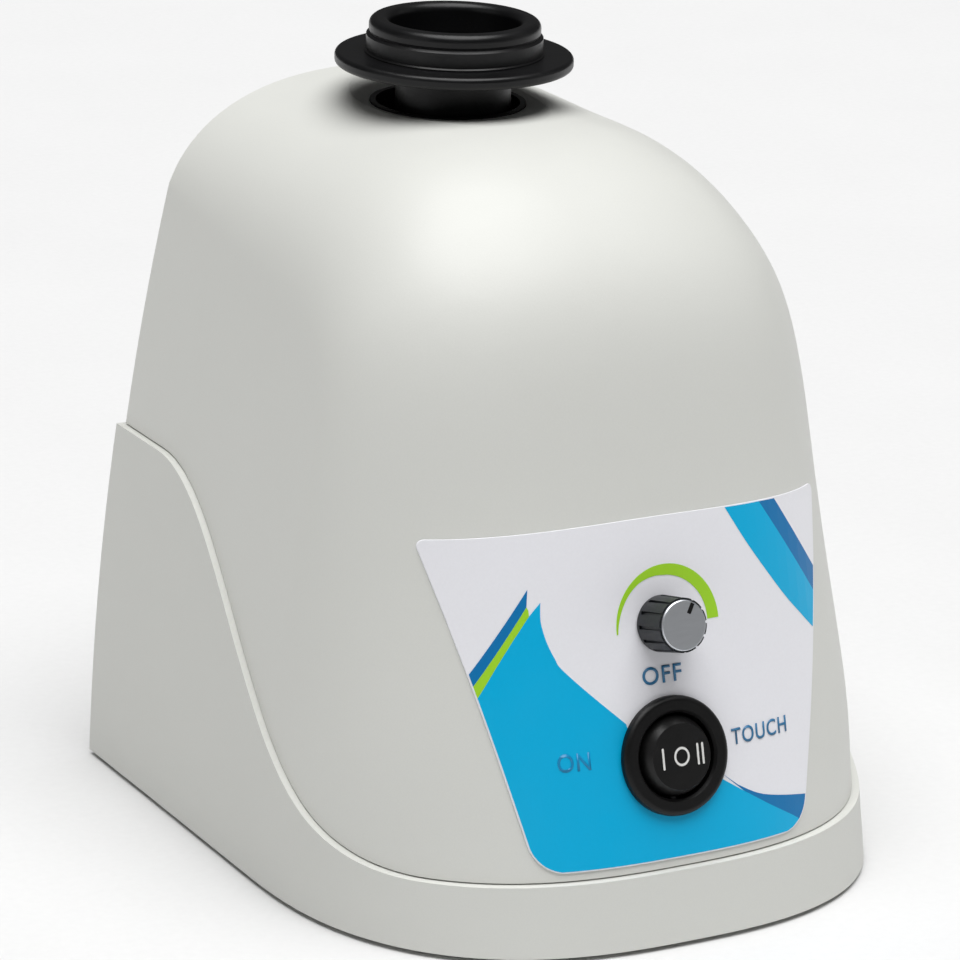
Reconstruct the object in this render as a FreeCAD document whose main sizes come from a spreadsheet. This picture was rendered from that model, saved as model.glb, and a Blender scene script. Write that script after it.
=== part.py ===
"""Vortex mixer: a bell-shaped bench mixer with a rubber cup head, built as separate sub-parts.

Frame: +Z up, +Y towards the back, +X to the right of somebody who faces the control panel.
The origin is the middle of the footprint on the bench top.  All lengths are millimetres.
"""
import math
import os

import FreeCAD
import Part
import Sketcher
from FreeCAD import Placement, Rotation, Vector

doc = FreeCAD.newDocument("vortex_mixer")
sheet = doc.addObject("Spreadsheet::Sheet", "Sizes")

# ---------------------------------------------------------------------------
# Driving dimensions: alias, value, meaning
# ---------------------------------------------------------------------------
SIZES = (
    # housing form, measured from the base rim
    ("rear_y", 69.0, "rear wall of the upper housing at the rim"),
    ("front_y", -69.1, "front face of the upper housing at the rim, on the centre line"),
    ("front_lean", 15.1, "front face leans back, degrees"),
    ("rear_draft", 0.02, "rear wall draft, run per unit height"),
    ("top_height", 142.7, "top of the dome above the rim"),
    ("half_rear", 59.9, "half width at the rear wall"),
    ("half_front", 61.4, "half width where the nose begins"),
    ("side_draft", 0.007, "side wall draft, run per unit height"),
    ("side_bow", 0.00086, "side wall bow, run per unit height squared"),
    ("dome_radius", 51.0, "side profile radius between the front face and the top"),
    ("shoulder_rear", 119.8, "shoulder height at the rear wall"),
    ("shoulder_slope", 0.167, "fall of the shoulder towards the front"),
    ("nose_low_y", -8.25, "start of the rounded nose at the rim"),
    ("nose_rise", -0.044, "shift of the nose start per unit height"),
    ("shoulder_blend", 8.5, "blend between shoulder and nose"),
    ("fan_back", 14.0, "fan axis of the cross sections, behind the rear wall"),
    ("fan_drop", 40.0, "fan axis of the cross sections, below the rim"),
    ("upper_wall", 2.8, "wall of the upper housing"),
    ("lap_depth", 1.2, "rebate of the upper housing behind the base wall"),
    ("lap_gap", 0.2, "clearance between the two housings in the lap"),
    ("lip", 1.4, "base wall stands out from the upper housing"),
    ("floor_thickness", 3.0, "base floor"),
    ("wing_high", 71.0, "top of the base wall at the rear"),
    ("wing_low", 13.3, "top of the base wall at the front"),
    ("wing_rear_y", 49.0, "where the base wall starts to fall"),
    ("wing_front_y", -51.0, "where the base wall levels out"),
    ("wing_rear_pull", 33.2, "bend length at the high end"),
    ("wing_front_pull", 47.2, "bend length at the low end"),
    ("wing_seam", 0.3, "shadow gap over the base wall"),
    ("dish_depth", 1.9, "fall of the dome towards the neck hole"),
    ("dish_radius", 30.0, "outer radius of that fall"),
    # ballast, feet and housing screws
    ("ballast_thickness", 8.0, "ballast plate"),
    ("ballast_inset", 5.5, "ballast plate inside the housing form"),
    ("foot_proud", 1.0, "foot stands out below the rim"),
    ("foot_radius", 7.0, "rubber foot"),
    ("foot_thickness", 2.5, "rubber foot"),
    ("foot_edge", 0.8, "bevel of the rubber foot"),
    ("foot_sink_gap", 0.3, "recess round the screw head in a foot"),
    ("foot_rear_x", 44.0, "rear feet from the centre plane"),
    ("foot_rear_setback", 32.0, "rear feet in front of the rear wall"),
    ("foot_front_x", 37.0, "front feet from the centre plane"),
    ("foot_front_y", -42.0, "front feet"),
    ("screw_radius", 1.5, "M3 screw shank"),
    ("screw_head_radius", 2.8, "M3 pan head"),
    ("screw_head_height", 1.4, "M3 pan head"),
    ("screw_gap", 0.2, "clearance hole round a screw"),
    ("thread_gap", 0.02, "fit of a screw in its thread"),
    ("boss_radius", 4.2, "screw boss of the upper housing"),
    ("boss_height", 26.0, "screw boss of the upper housing"),
    ("boss_tuck", 1.26, "screw boss runs into the side wall"),
    ("boss_skin", 0.2, "screw boss stays inside the rebate"),
    ("boss_gap", 0.6, "ballast plate round a screw boss"),
    ("pilot_spare", 2.0, "pilot hole beyond the housing screw"),
    ("foot_gap", 0.1, "rubber foot in its recess"),
    ("boss_rear_setback", 15.0, "rear screw bosses in front of the rear wall"),
    ("boss_front_y", -10.0, "front screw bosses"),
    ("housing_screw_length", 14.0, "housing screw shank"),
    # motor carriage
    ("motor_setback", 33.9, "motor axis in front of the rear wall"),
    ("orbit", 2.0, "eccentricity of the head, half of its orbit"),
    ("post_radius", 3.0, "guide post"),
    ("post_x", 26.0, "guide posts from the motor axis"),
    ("post_y", 16.0, "guide posts from the motor axis"),
    ("post_head_radius", 5.5, "guide post head"),
    ("post_head_height", 2.5, "guide post head"),
    ("slide_gap", 0.08, "running clearance of slides and hinges"),
    ("spring_room", 22.0, "ballast plate to carriage plate"),
    ("spring_wire", 0.5, "spring wire radius"),
    ("spring_radius", 4.4, "spring mean radius"),
    ("spring_pitch", 3.6, "spring pitch"),
    ("spring_gap", 0.3, "spring end to its seat"),
    ("press_travel", 2.5, "downward travel of the carriage"),
    ("carriage_length", 64.0, "carriage plate along X"),
    ("carriage_width", 46.0, "carriage plate along Y"),
    ("carriage_thickness", 3.0, "carriage plate"),
    ("carriage_corner", 6.0, "rounded corners of the carriage plate"),
    ("carriage_bore_gap", 1.0, "carriage plate round the bearing"),
    # motor
    ("motor_radius", 21.0, "motor can"),
    ("motor_length", 52.0, "motor can"),
    ("can_wall", 1.0, "motor can wall"),
    ("cap_thickness", 3.0, "motor top cap"),
    ("stator_inner", 13.0, "stator bore radius"),
    ("stator_height", 26.0, "stator stack"),
    ("stator_lift", 12.0, "stator above the can floor"),
    ("winding_share", 0.64, "windings, as a share of the stator's width"),
    ("winding_height", 6.0, "windings above the stator"),
    ("air_gap", 0.4, "rotor to stator"),
    ("shaft_radius", 2.5, "motor shaft"),
    ("shaft_rise", 17.0, "shaft above the motor cap"),
    ("bearing_outer", 6.0, "motor bearing outer radius"),
    ("bearing_height", 4.0, "motor bearing"),
    # head drive
    ("hub_lift", 6.0, "eccentric hub above the motor cap"),
    ("hub_radius", 9.0, "eccentric hub"),
    ("hub_height", 16.0, "eccentric hub"),
    ("weight_radius", 16.0, "counterweight"),
    ("weight_height", 8.0, "counterweight"),
    ("pin_radius", 4.0, "eccentric pin"),
    ("pin_height", 11.0, "eccentric pin"),
    ("race_outer", 11.0, "head bearing outer radius"),
    ("race_height", 7.0, "head bearing"),
    ("race_wall", 1.9, "head bearing race wall"),
    ("race_lift", 1.5, "head bearing above the hub"),
    ("ball_radius", 1.55, "head bearing ball"),
    ("ball_count", 8.0, "head bearing balls"),
    ("holder_wall", 2.0, "bearing holder wall round the bearing"),
    ("pin_room", 0.8, "hollow of the holder round the eccentric pin"),
    ("spigot_radius", 8.0, "spigot of the bearing holder"),
    # cup head, heights above the rim
    ("cup_rim_top", 158.7, "top of the cup rim"),
    ("cup_rim_radius", 17.2, "cup rim outer radius"),
    ("cup_skirt_radius", 17.7, "cup wall outer radius below the rim"),
    ("cup_mouth_radius", 13.1, "cup mouth radius"),
    ("cup_floor", 147.0, "lowest point of the cup hollow"),
    ("cup_floor_radius", 9.5, "flat of the cup hollow"),
    ("flange_radius", 23.9, "cup flange radius"),
    ("flange_top", 151.7, "cup flange top"),
    ("flange_thickness", 3.2, "cup flange"),
    ("flange_taper", 0.8, "rise of the flange's under side, each way"),
    ("flange_round", 0.9, "rounding of the flange's upper edge"),
    ("cup_rim_height", 2.5, "rim bead of the cup"),
    ("cup_rim_round", 1.55, "rounding of the rim bead"),
    ("cup_groove", 0.2, "groove under the rim bead"),
    ("cup_groove_height", 0.5, "groove under the rim bead"),
    ("cup_foot", 0.25, "step at the foot of the cup wall"),
    ("cup_bowl", 3.5, "slope at the bottom of the cup hollow"),
    ("neck_radius", 11.6, "cup neck radius"),
    ("neck_bottom", 131.0, "lower end of the cup neck"),
    ("spigot_top", 143.0, "top of the spigot in the cup"),
    ("hole_radius", 15.8, "neck hole of the upper housing"),
    ("seal_wall", 1.2, "seal ring wall"),
    ("seal_gap", 0.1, "seal ring in the hole"),
    ("seal_shoulder", 2.5, "shoulder of the seal ring"),
    ("seal_shoulder_drop", 2.0, "shoulder below the dome's wall"),
    ("seal_drop", 8.0, "seal ring below the dome"),
    ("seal_proud", 0.6, "seal ring above the edge of the hole"),
    # control panel, distances up the panel are heights above the rim on its centre line
    ("label_top", 76.2, "label top corners"),
    ("label_bottom", 15.2, "label bottom edge"),
    ("label_top_half", 44.6, "half width of the label's top edge"),
    ("label_bottom_half", 30.0, "half width of the label's bottom edge"),
    ("label_arch", 2.3, "rise of the label's top edge in the middle"),
    ("label_corner", 7.0, "bottom corner radius of the label"),
    ("label_small_corner", 1.5, "top corner radius of the label"),
    ("label_thickness", 0.3, "control label"),
    ("label_glue", 0.04, "glue under the control label"),
    ("bezel_seat", 0.02, "switch bezel in front of the label"),
    ("knob_height_up", 58.7, "knob axis above the rim"),
    ("knob_radius", 5.5, "knob skirt at its foot"),
    ("knob_proud", 9.0, "knob top above the panel"),
    ("knob_gap", 0.7, "knob above the panel"),
    ("knob_taper", 0.25, "knob skirt narrows towards its cap"),
    ("knob_cap_radius", 4.85, "knob cap"),
    ("knob_cap_edge", 0.2, "bevel of the knob cap"),
    ("knob_cap_thickness", 0.9, "knob cap"),
    ("knob_pointer_angle", 30.0, "pointer at rest, degrees clockwise from straight up"),
    ("knob_pointer_width", 0.9, "pointer slot"),
    ("knob_groove", 0.5, "depth of the finger grooves at the foot of the skirt"),
    ("knob_grooves", 12.0, "finger grooves"),
    ("knob_groove_width", 1.1, "finger grooves at the skirt"),
    ("pointer_depth", 0.35, "pointer slot"),
    ("pot_shaft_radius", 3.0, "control shaft"),
    ("pot_hole_gap", 0.4, "panel hole round the control shaft"),
    ("pot_radius", 8.0, "speed control body"),
    ("pot_depth", 7.0, "speed control body"),
    ("pot_collar_wall", 1.2, "collar of the speed control"),
    ("pot_collar_height", 2.0, "collar of the speed control"),
    ("pot_shaft_inset", 1.0, "control shaft from the back of the speed control"),
    ("knob_web", 1.2, "knob skirt between shaft and cap"),
    ("switch_height_up", 34.1, "switch centre above the rim"),
    ("switch_radius", 9.9, "switch barrel"),
    ("switch_hole_gap", 0.2, "panel hole round the switch barrel"),
    ("switch_depth", 17.0, "switch barrel behind the panel"),
    ("bezel_radius", 11.6, "switch bezel"),
    ("bezel_thickness", 1.7, "switch bezel"),
    ("bezel_bevel", 1.1, "rounding of the switch bezel"),
    ("bezel_lead", 0.5, "bevel round the rocker's opening"),
    ("barrel_room", 0.6, "hollow of the switch barrel behind the rocker"),
    ("rocker_radius", 8.1, "rocker"),
    ("rocker_gap", 0.25, "rocker to bezel"),
    ("rocker_pivot_depth", 1.6, "rocker pivot behind the panel"),
    ("rocker_face", 3.4, "rocker face above the panel"),
    ("rocker_waist", 0.6, "back of the rocker behind its pivot, as a share of its radius"),
    ("rocker_pin_radius", 0.9, "rocker pin"),
    ("pin_gap", 0.06, "rocker on its pin"),
    ("pin_inset", 0.1, "rocker pin from the outside of the barrel"),
    ("terminal_length", 8.0, "switch terminals"),
    ("terminal_width", 4.8, "switch terminals"),
    ("terminal_thickness", 0.8, "switch terminals"),
    ("terminal_pitch", 5.5, "switch terminals"),
    # control board behind the panel
    ("board_behind", 15.0, "front of the board behind the panel"),
    ("board_thickness", 1.6, "control board"),
    ("board_length", 58.0, "control board along X"),
    ("board_width", 31.0, "control board up the panel"),
    ("board_screw_x", 25.0, "board screws from the centre plane"),
    ("board_screw_up", 11.5, "board screws above and below the board centre"),
    ("board_centre_up", 5.0, "board centre above the knob axis"),
    ("board_boss_radius", 3.0, "boss of the upper housing behind a board screw"),
    ("board_boss_drop", 1.2, "board screw boss from the panel's inner face on the centre line"),
    ("board_screw_length", 6.0, "board screw shank"),
    ("can_radius", 4.5, "capacitor cans"),
    ("can_height", 13.0, "capacitor cans"),
    ("can_1_x", -16.0, "first capacitor across the board"),
    ("can_2_x", -5.0, "second capacitor across the board"),
    ("can_up", 3.0, "capacitors above the board's middle"),
    ("sink_x", 2.0, "heat sink across the board"),
    ("sink_up", -9.0, "heat sink from the board's middle"),
    ("sink_length", 22.0, "heat sink"),
    ("sink_wall", 2.0, "heat sink plate"),
    ("sink_height", 15.0, "heat sink"),
    ("fin_thickness", 1.2, "heat sink fins"),
    ("fin_depth", 5.0, "heat sink fins"),
    ("triac_x", 8.0, "power switch across the board"),
    ("triac_width", 10.0, "power switch"),
    ("triac_thickness", 3.0, "power switch"),
    ("triac_height", 13.0, "power switch"),
    ("block_x", 1.0, "terminal block across the board"),
    ("block_up", 4.0, "terminal block from the board's middle"),
    ("block_length", 19.0, "terminal block"),
    ("block_width", 8.0, "terminal block"),
    ("block_height", 9.0, "terminal block"),
    # press switch under the carriage
    ("press_switch_reach", 17.5, "press switch in front of the motor axis"),
    ("press_switch_length", 19.8, "press switch along X"),
    ("press_switch_width", 6.4, "press switch along Y"),
    ("press_switch_height", 10.2, "press switch"),
    ("plunger_radius", 1.2, "press switch plunger"),
    ("plunger_gap", 0.1, "plunger below the carriage plate"),
    ("press_clearance", 0.8, "press switch below the lowest place of the carriage plate"),
    ("bracket_wall", 1.5, "press switch bracket"),
    ("bracket_setback", 2.0, "bracket web in front of the press switch"),
    ("bracket_toe", 4.0, "toe of the bracket"),
    # cable gland
    ("gland_x", 32.0, "cable gland from the centre plane"),
    ("gland_up", 24.0, "cable gland above the rim"),
    ("gland_hole", 6.2, "housing hole of the cable gland"),
    ("gland_bore", 3.8, "cable gland bore"),
    ("gland_flange", 8.4, "cable gland flange"),
    ("gland_flange_thickness", 2.0, "cable gland flange"),
    ("gland_gap", 0.1, "clearance round the cable gland"),
    ("gland_flange_edge", 1.4, "bevel of the cable gland flange"),
    ("gland_tail", 5.0, "cable gland inside the walls"),
    ("gland_nut_height", 3.0, "cable gland nut"),
)


class Size:
    """A number together with the sheet expression that gives it."""

    def __init__(self, value, text):
        self.value = float(value)
        self.text = text

    def __add__(self, other):
        return combine(self, "+", other, self.value + number(other))

    def __sub__(self, other):
        return combine(self, "-", other, self.value - number(other))

    def __rsub__(self, other):
        return combine(other, "-", self, number(other) - self.value)

    def __mul__(self, other):
        return combine(self, "*", other, self.value * number(other))

    def __truediv__(self, other):
        return combine(self, "/", other, self.value / number(other))

    def __neg__(self):
        return Size(-self.value, "(0 - %s)" % self.text)

    __radd__ = __add__
    __rmul__ = __mul__


def number(size):
    """The plain number of a Size or a number."""
    return size.value if isinstance(size, Size) else float(size)


def expression(size):
    """The sheet expression of a Size or a number."""
    return size.text if isinstance(size, Size) else repr(float(size))


def combine(left, sign, right, value):
    """Join two sizes or numbers into one size."""
    return Size(value, "(%s %s %s)" % (expression(left), sign, expression(right)))


class Sheet:
    """Read access to the driving dimensions by name."""

    def __getattr__(self, alias):
        return Size(getattr(sheet, alias), "Sizes." + alias)


for row, (alias, value, meaning) in enumerate(SIZES, start=1):
    sheet.set("A%d" % row, alias)
    sheet.set("B%d" % row, str(value))
    sheet.setAlias("B%d" % row, alias)
    sheet.set("C%d" % row, meaning)
doc.recompute()
S = Sheet()
MOTOR_Y = S.rear_y - S.motor_setback
PRESS_SWITCH_Y = MOTOR_Y - S.press_switch_reach

nodes = []


# ---------------------------------------------------------------------------
# Helpers: placing and binding
# ---------------------------------------------------------------------------
def bind(thing, name, size):
    """Tie a property of a document object to the sheet."""
    thing.setExpression(name, expression(size))


def place(thing, spot=(0.0, 0.0, 0.0), turn=None):
    """Set a placement whose position follows the sheet."""
    thing.Placement = Placement(Vector(*[number(value) for value in spot]), turn or Rotation())
    for axis, value in zip("xyz", spot):
        if isinstance(value, Size):
            thing.setExpression("Placement.Base." + axis, value.text)
    return thing


def finish_node(thing, label):
    """Register a finished sub-part under its own label."""
    thing.Label = label
    nodes.append(thing)
    return thing


def feature(label, shape):
    """A sub-part whose form neither sketches nor primitives can give."""
    thing = doc.addObject("Part::Feature", label)
    thing.Shape = shape
    return finish_node(thing, label)


# ---------------------------------------------------------------------------
# Helpers: Part primitives
# ---------------------------------------------------------------------------
def cylinder(name, radius, height, spot=(0.0, 0.0, 0.0), turn=None):
    """A plain cylinder object bound to its sizes."""
    thing = doc.addObject("Part::Cylinder", name)
    bind(thing, "Radius", radius)
    bind(thing, "Height", height)
    return place(thing, spot, turn)


def box(name, length, width, height, spot):
    """A plain box object bound to its sizes."""
    thing = doc.addObject("Part::Box", name)
    bind(thing, "Length", length)
    bind(thing, "Width", width)
    bind(thing, "Height", height)
    return place(thing, spot)


def cut(name, base, tool):
    """One object with another taken away."""
    thing = doc.addObject("Part::Cut", name)
    thing.Base = base
    thing.Tool = tool
    return thing


def fuse(name, things):
    """Several objects joined into one."""
    thing = doc.addObject("Part::MultiFuse", name)
    thing.Shapes = things
    return thing


# ---------------------------------------------------------------------------
# Helpers: PartDesign bodies
# ---------------------------------------------------------------------------
def new_body(label, is_node=True):
    """A design body, kept as a sub-part unless told otherwise."""
    body = doc.addObject("PartDesign::Body", label)
    body.Label = label
    return finish_node(body, label) if is_node else body


def new_sketch(body, role, lift=0.0):
    """A sketch on one of the body's own origin planes, moved along the plane's normal."""
    sketch = body.newObject("Sketcher::SketchObject", body.Label + "_sketch")
    plane = [item for item in body.Origin.OriginFeatures if item.Role == role][0]
    sketch.AttachmentSupport = (plane, [""])
    sketch.MapMode = "FlatFace"
    sketch.AttachmentOffset = Placement(Vector(0, 0, number(lift)), Rotation())
    if isinstance(lift, Size):
        sketch.setExpression("AttachmentOffset.Base.z", lift.text)
    return sketch


def pin_point(sketch, shape, end, across, up):
    """Hold a sketch point at a place that follows the sheet."""
    for kind, size, axis in (("DistanceX", across, -2), ("DistanceY", up, -1)):
        if abs(number(size)) < 1e-9:
            sketch.addConstraint(Sketcher.Constraint("PointOnObject", shape, end, axis))
        else:
            index = sketch.addConstraint(Sketcher.Constraint(kind, -1, 1, shape, end, number(size)))
            if isinstance(size, Size):
                sketch.setExpression("Constraints[%d]" % index, size.text)


def closed_outline(sketch, points):
    """Straight closed outline through points that follow the sheet."""
    first = sketch.GeometryCount
    count = len(points)
    spots = [Vector(number(across), number(up), 0) for across, up in points]
    for index in range(count):
        sketch.addGeometry(Part.LineSegment(spots[index], spots[(index + 1) % count]))
    for index in range(count):
        after = first + (index + 1) % count
        sketch.addConstraint(Sketcher.Constraint("Coincident", first + index, 2, after, 1))
    for index, (across, up) in enumerate(points):
        pin_point(sketch, first + index, 1, across, up)


def circle(sketch, across, up, radius):
    """A dimensioned circle in a sketch."""
    spot = Vector(number(across), number(up), 0)
    index = sketch.addGeometry(Part.Circle(spot, Vector(0, 0, 1), number(radius)))
    pin_point(sketch, index, 3, across, up)
    ring = sketch.addConstraint(Sketcher.Constraint("Radius", index, number(radius)))
    if isinstance(radius, Size):
        sketch.setExpression("Constraints[%d]" % ring, radius.text)


def revolve(body, points, cutting=False):
    """Turn an outline of radius and height pairs round the body's Z axis."""
    sketch = new_sketch(body, "XZ_Plane")
    closed_outline(sketch, points)
    kind = "PartDesign::Groove" if cutting else "PartDesign::Revolution"
    turned = body.newObject(kind, body.Label + "_turned")
    turned.Profile = sketch
    turned.ReferenceAxis = (sketch, ["V_Axis"])
    turned.Angle = 360.0
    return turned


def pad(body, sketch, length):
    """A sketch raised by a length."""
    raised = body.newObject("PartDesign::Pad", body.Label + "_pad")
    raised.Profile = sketch
    bind(raised, "Length", length)
    return raised


def pocket(body, sketch, length):
    """Cut from the sketch plane along its normal."""
    sunk = body.newObject("PartDesign::Pocket", body.Label + "_pocket")
    sunk.Profile = sketch
    sunk.Reversed = True
    bind(sunk, "Length", length)
    return sunk


def slab(label, across, up, low, height):
    """A plain block between two pairs of sketch coordinates."""
    body = new_body(label)
    sketch = new_sketch(body, "XY_Plane", low)
    (left, right), (near, far) = across, up
    closed_outline(sketch, ((left, near), (right, near), (right, far), (left, far)))
    pad(body, sketch, height)
    return body


def polar(body, original, count):
    """A feature repeated round the sketch axis."""
    pattern = body.newObject("PartDesign::PolarPattern", body.Label + "_pattern")
    pattern.Originals = [original]
    sketch = original.Profile[0]
    pattern.Axis = (sketch, ["N_Axis"])
    pattern.Angle = 360.0
    bind(pattern, "Occurrences", count)
    body.Tip = pattern
    return pattern


def round_edges(body, radius, chosen):
    """Round the edges of the body's tip that the test chooses."""
    doc.recompute()
    tip = body.Tip
    names = ["Edge%d" % (i + 1) for i, edge in enumerate(tip.Shape.Edges) if chosen(edge)]
    rounded = body.newObject("PartDesign::Fillet", body.Label + "_rounded")
    rounded.Base = (tip, names)
    bind(rounded, "Radius", radius)
    return rounded


def ring_edge(radius, height):
    """A test for round edges of that radius at that height on the body's Z axis."""

    def chosen(edge):
        if not isinstance(edge.Curve, Part.Circle):
            return False
        middle = edge.Curve.Center
        near_axis = math.hypot(middle.x, middle.y) < 1e-4
        same = abs(edge.Curve.Radius - number(radius)) < 1e-4
        return near_axis and same and abs(middle.z - number(height)) < 1e-4

    return chosen


# ---------------------------------------------------------------------------
# Housing form
# ---------------------------------------------------------------------------
LEAN = math.radians(S.front_lean.value)
PIVOT_Y = S.rear_y.value + S.fan_back.value
PIVOT_Z = -S.fan_drop.value
FAN_START = 6
FAN_END = 91
FAN_STEP = 5
ARCH_POINTS = 26
LEG_START = 35.0
LEG_SHARES = (0.0, 0.2, 0.4, 0.58, 0.72, 0.84, 0.92, 0.965, 0.99)
ARCH_POWER_FRONT = 0.76
ARCH_POWER_REAR = 0.876
ARCH_POWER_SPAN = (69.75, 43.3)
CREASE_START_ANGLE = 27.2
CREASE_SPAN = (28.0, 25.4)


def blend(angle, span):
    """Smooth step over a span of fan angles."""
    share = min(1.0, max(0.0, (angle - span[0]) / span[1]))
    return share * share * (3.0 - 2.0 * share)


def half_width(y, z):
    """Half width of the side walls at a height above the rim."""
    share = (S.rear_y.value - y) / (S.rear_y.value - S.nose_low_y.value)
    share = min(1.25, max(0.0, share))
    at_rim = S.half_rear.value + (S.half_front.value - S.half_rear.value) * share
    return at_rim - S.side_draft.value * z - S.side_bow.value * z * abs(z)


def profile_reach(angle, inset):
    """Distance from the fan axis to the centre-line profile, moved inwards by the inset."""
    across = -math.cos(angle)
    up = math.sin(angle)
    arc = S.dome_radius.value
    centre_z = S.top_height.value - arc
    centre_y = (arc + centre_z * math.sin(LEAN)) / math.cos(LEAN) + S.front_y.value
    run = across * math.cos(LEAN) - up * math.sin(LEAN)
    start = (PIVOT_Y - S.front_y.value) * math.cos(LEAN) - PIVOT_Z * math.sin(LEAN) - inset
    to_face = -start / run if abs(run) > 1e-9 else -1.0
    if 0.0 < to_face and PIVOT_Z + up * to_face <= centre_z + (arc - inset) * math.sin(LEAN):
        return to_face
    to_top = (S.top_height.value - inset - PIVOT_Z) / up
    if PIVOT_Y + across * to_top >= centre_y:
        return to_top
    middle = across * (PIVOT_Y - centre_y) + up * (PIVOT_Z - centre_z)
    rest = (PIVOT_Y - centre_y) ** 2 + (PIVOT_Z - centre_z) ** 2 - (arc - inset) ** 2
    return -middle + math.sqrt(middle * middle - rest)


def shoulder_reach(angle):
    """Distance from the fan axis to the shoulder line or the start of the nose."""
    across = -math.cos(angle)
    up = math.sin(angle)
    slope = S.shoulder_slope.value
    level = S.shoulder_rear.value - slope * S.rear_y.value + slope * PIVOT_Y
    to_shoulder = (level - PIVOT_Z) / (up - slope * across)
    rise = S.nose_rise.value
    facing = rise * up - across
    if facing < 0.02:
        return to_shoulder
    to_nose = (PIVOT_Y - S.nose_low_y.value - rise * PIVOT_Z) / facing
    soft = S.shoulder_blend.value
    return -soft * math.log(math.exp(-to_shoulder / soft) + math.exp(-to_nose / soft))


def fan_section(angle, inset):
    """Points of the right half of one cross section in the fan plane at that angle."""
    across = -math.cos(angle)
    up = math.sin(angle)
    shoulder = shoulder_reach(angle)
    middle = profile_reach(angle, inset)
    degrees = math.degrees(angle)
    start = math.radians(CREASE_START_ANGLE * blend(degrees, CREASE_SPAN))
    change = blend(degrees, ARCH_POWER_SPAN)
    power = ARCH_POWER_FRONT + (ARCH_POWER_REAR - ARCH_POWER_FRONT) * change
    points = []
    for share in LEG_SHARES:
        reach = LEG_START + (shoulder - LEG_START) * share
        y = PIVOT_Y + across * reach
        z = PIVOT_Z + up * reach
        points.append(Vector(half_width(y, z) - inset, y, z))
    side = half_width(PIVOT_Y + across * shoulder, PIVOT_Z + up * shoulder) - inset
    for index in range(ARCH_POINTS + 1):
        turn = start + (math.pi / 2.0 - start) * index / ARCH_POINTS
        narrowing = (max(math.cos(turn), 0.0) / math.cos(start)) ** power
        growth = ((math.sin(turn) - math.sin(start)) / (1.0 - math.sin(start))) ** power
        reach = shoulder + (middle - shoulder) * growth
        points.append(Vector(side * narrowing, PIVOT_Y + across * reach, PIVOT_Z + up * reach))
    return points


def whole_section(angle, inset):
    """The left half, mirrored, then the right half of a cross section."""
    half = fan_section(angle, inset)
    mirrored = [Vector(-point.x, point.y, point.z) for point in half]
    return mirrored + half[-2::-1]


def chord_shares(points):
    """Curve parameters spaced like the chords between the points."""
    shares = [0.0]
    for before, after in zip(points, points[1:]):
        shares.append(shares[-1] + (after - before).Length)
    return [share / shares[-1] for share in shares]


def bell(inset, low, high=400.0):
    """The housing form, moved inwards by the inset, between two heights above the rim."""
    shares = chord_shares(whole_section(math.radians(51.0), 0.0))
    wires = []
    for degrees in range(FAN_START, FAN_END + 1, FAN_STEP):
        points = whole_section(math.radians(degrees), inset)
        curve = Part.BSplineCurve()
        curve.interpolate(Points=points, Parameters=shares)
        closing = Part.LineSegment(points[-1], points[0]).toShape()
        wires.append(Part.Wire([curve.toShape(), closing]))
    form = Part.makeLoft(wires, True, False)
    reach = 400.0
    slab = Part.makeBox(reach, reach, high - low, Vector(-reach / 2.0, -reach + 100.0, low))
    behind = Part.makeBox(reach, reach, 2.0 * reach, Vector(-reach / 2.0, -reach, -reach))
    behind.rotate(Vector(0, 0, 0), Vector(1, 0, 0), math.degrees(math.atan(S.rear_draft.value)))
    behind.translate(Vector(0, S.rear_y.value - inset, 0))
    return form.common(slab).common(behind)


def below_wing(raise_by):
    """The space below the base wall's top edge, moved up by a distance."""
    half = 100.0
    high = S.wing_high.value + raise_by
    low = S.wing_low.value + raise_by
    rear = Vector(-half, S.wing_rear_y.value, high)
    front = Vector(-half, S.wing_front_y.value, low)
    curve = Part.BezierCurve()
    bend_rear = rear - Vector(0, S.wing_rear_pull.value, 0)
    bend_front = front + Vector(0, S.wing_front_pull.value, 0)
    curve.setPoles([rear, bend_rear, bend_front, front])
    corners = [
        front,
        Vector(-half, -130, low),
        Vector(-half, -130, -10),
        Vector(-half, 130, -10),
        Vector(-half, 130, high),
        rear,
    ]
    edges = [curve.toShape()]
    for before, after in zip(corners, corners[1:]):
        edges.append(Part.LineSegment(before, after).toShape())
    return Part.Face(Part.Wire(edges)).extrude(Vector(2.0 * half, 0, 0))


def upright(radius, x, y, low, high):
    """A plain upright cylinder as a cutting or joining tool, heights above the rim."""
    return Part.makeCylinder(radius, high - low, Vector(x, y, low))


def mirrored_spots(spots):
    """Each place and its twin on the other side of the centre plane."""
    return [(side * x, y) for x, y in spots for side in (-1.0, 1.0)]


RIM = S.foot_proud
FLOOR = S.floor_thickness
FOOT_SPOTS = mirrored_spots((
    (S.foot_rear_x.value, S.rear_y.value - S.foot_rear_setback.value),
    (S.foot_front_x.value, S.foot_front_y.value),
))


def boss_x(y):
    """Screw bosses stand against the inside of the side walls."""
    inner = half_width(y, S.boss_height.value) - S.upper_wall.value
    return inner - S.boss_radius.value + S.boss_tuck.value


BOSS_REAR_Y = S.rear_y.value - S.boss_rear_setback.value
BOSS_SPOTS = mirrored_spots((
    (boss_x(BOSS_REAR_Y), BOSS_REAR_Y),
    (boss_x(S.boss_front_y.value), S.boss_front_y.value),
))

# the control panel's own frame: origin on the panel, X to the right, Y up the panel, Z outwards
PANEL_TURN = Rotation(Vector(1, 0, 0), 90.0 - S.front_lean.value)


def panel_spot(up):
    """A point on the panel's centre line, from its height above the rim."""
    height = number(up)
    return Vector(0.0, S.front_y.value + height * math.tan(LEAN), height + RIM.value)


def on_panel(thing, up):
    """Place a sub-part drawn in the panel's frame."""
    thing.Placement = Placement(panel_spot(up), PANEL_TURN)
    return thing


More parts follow.
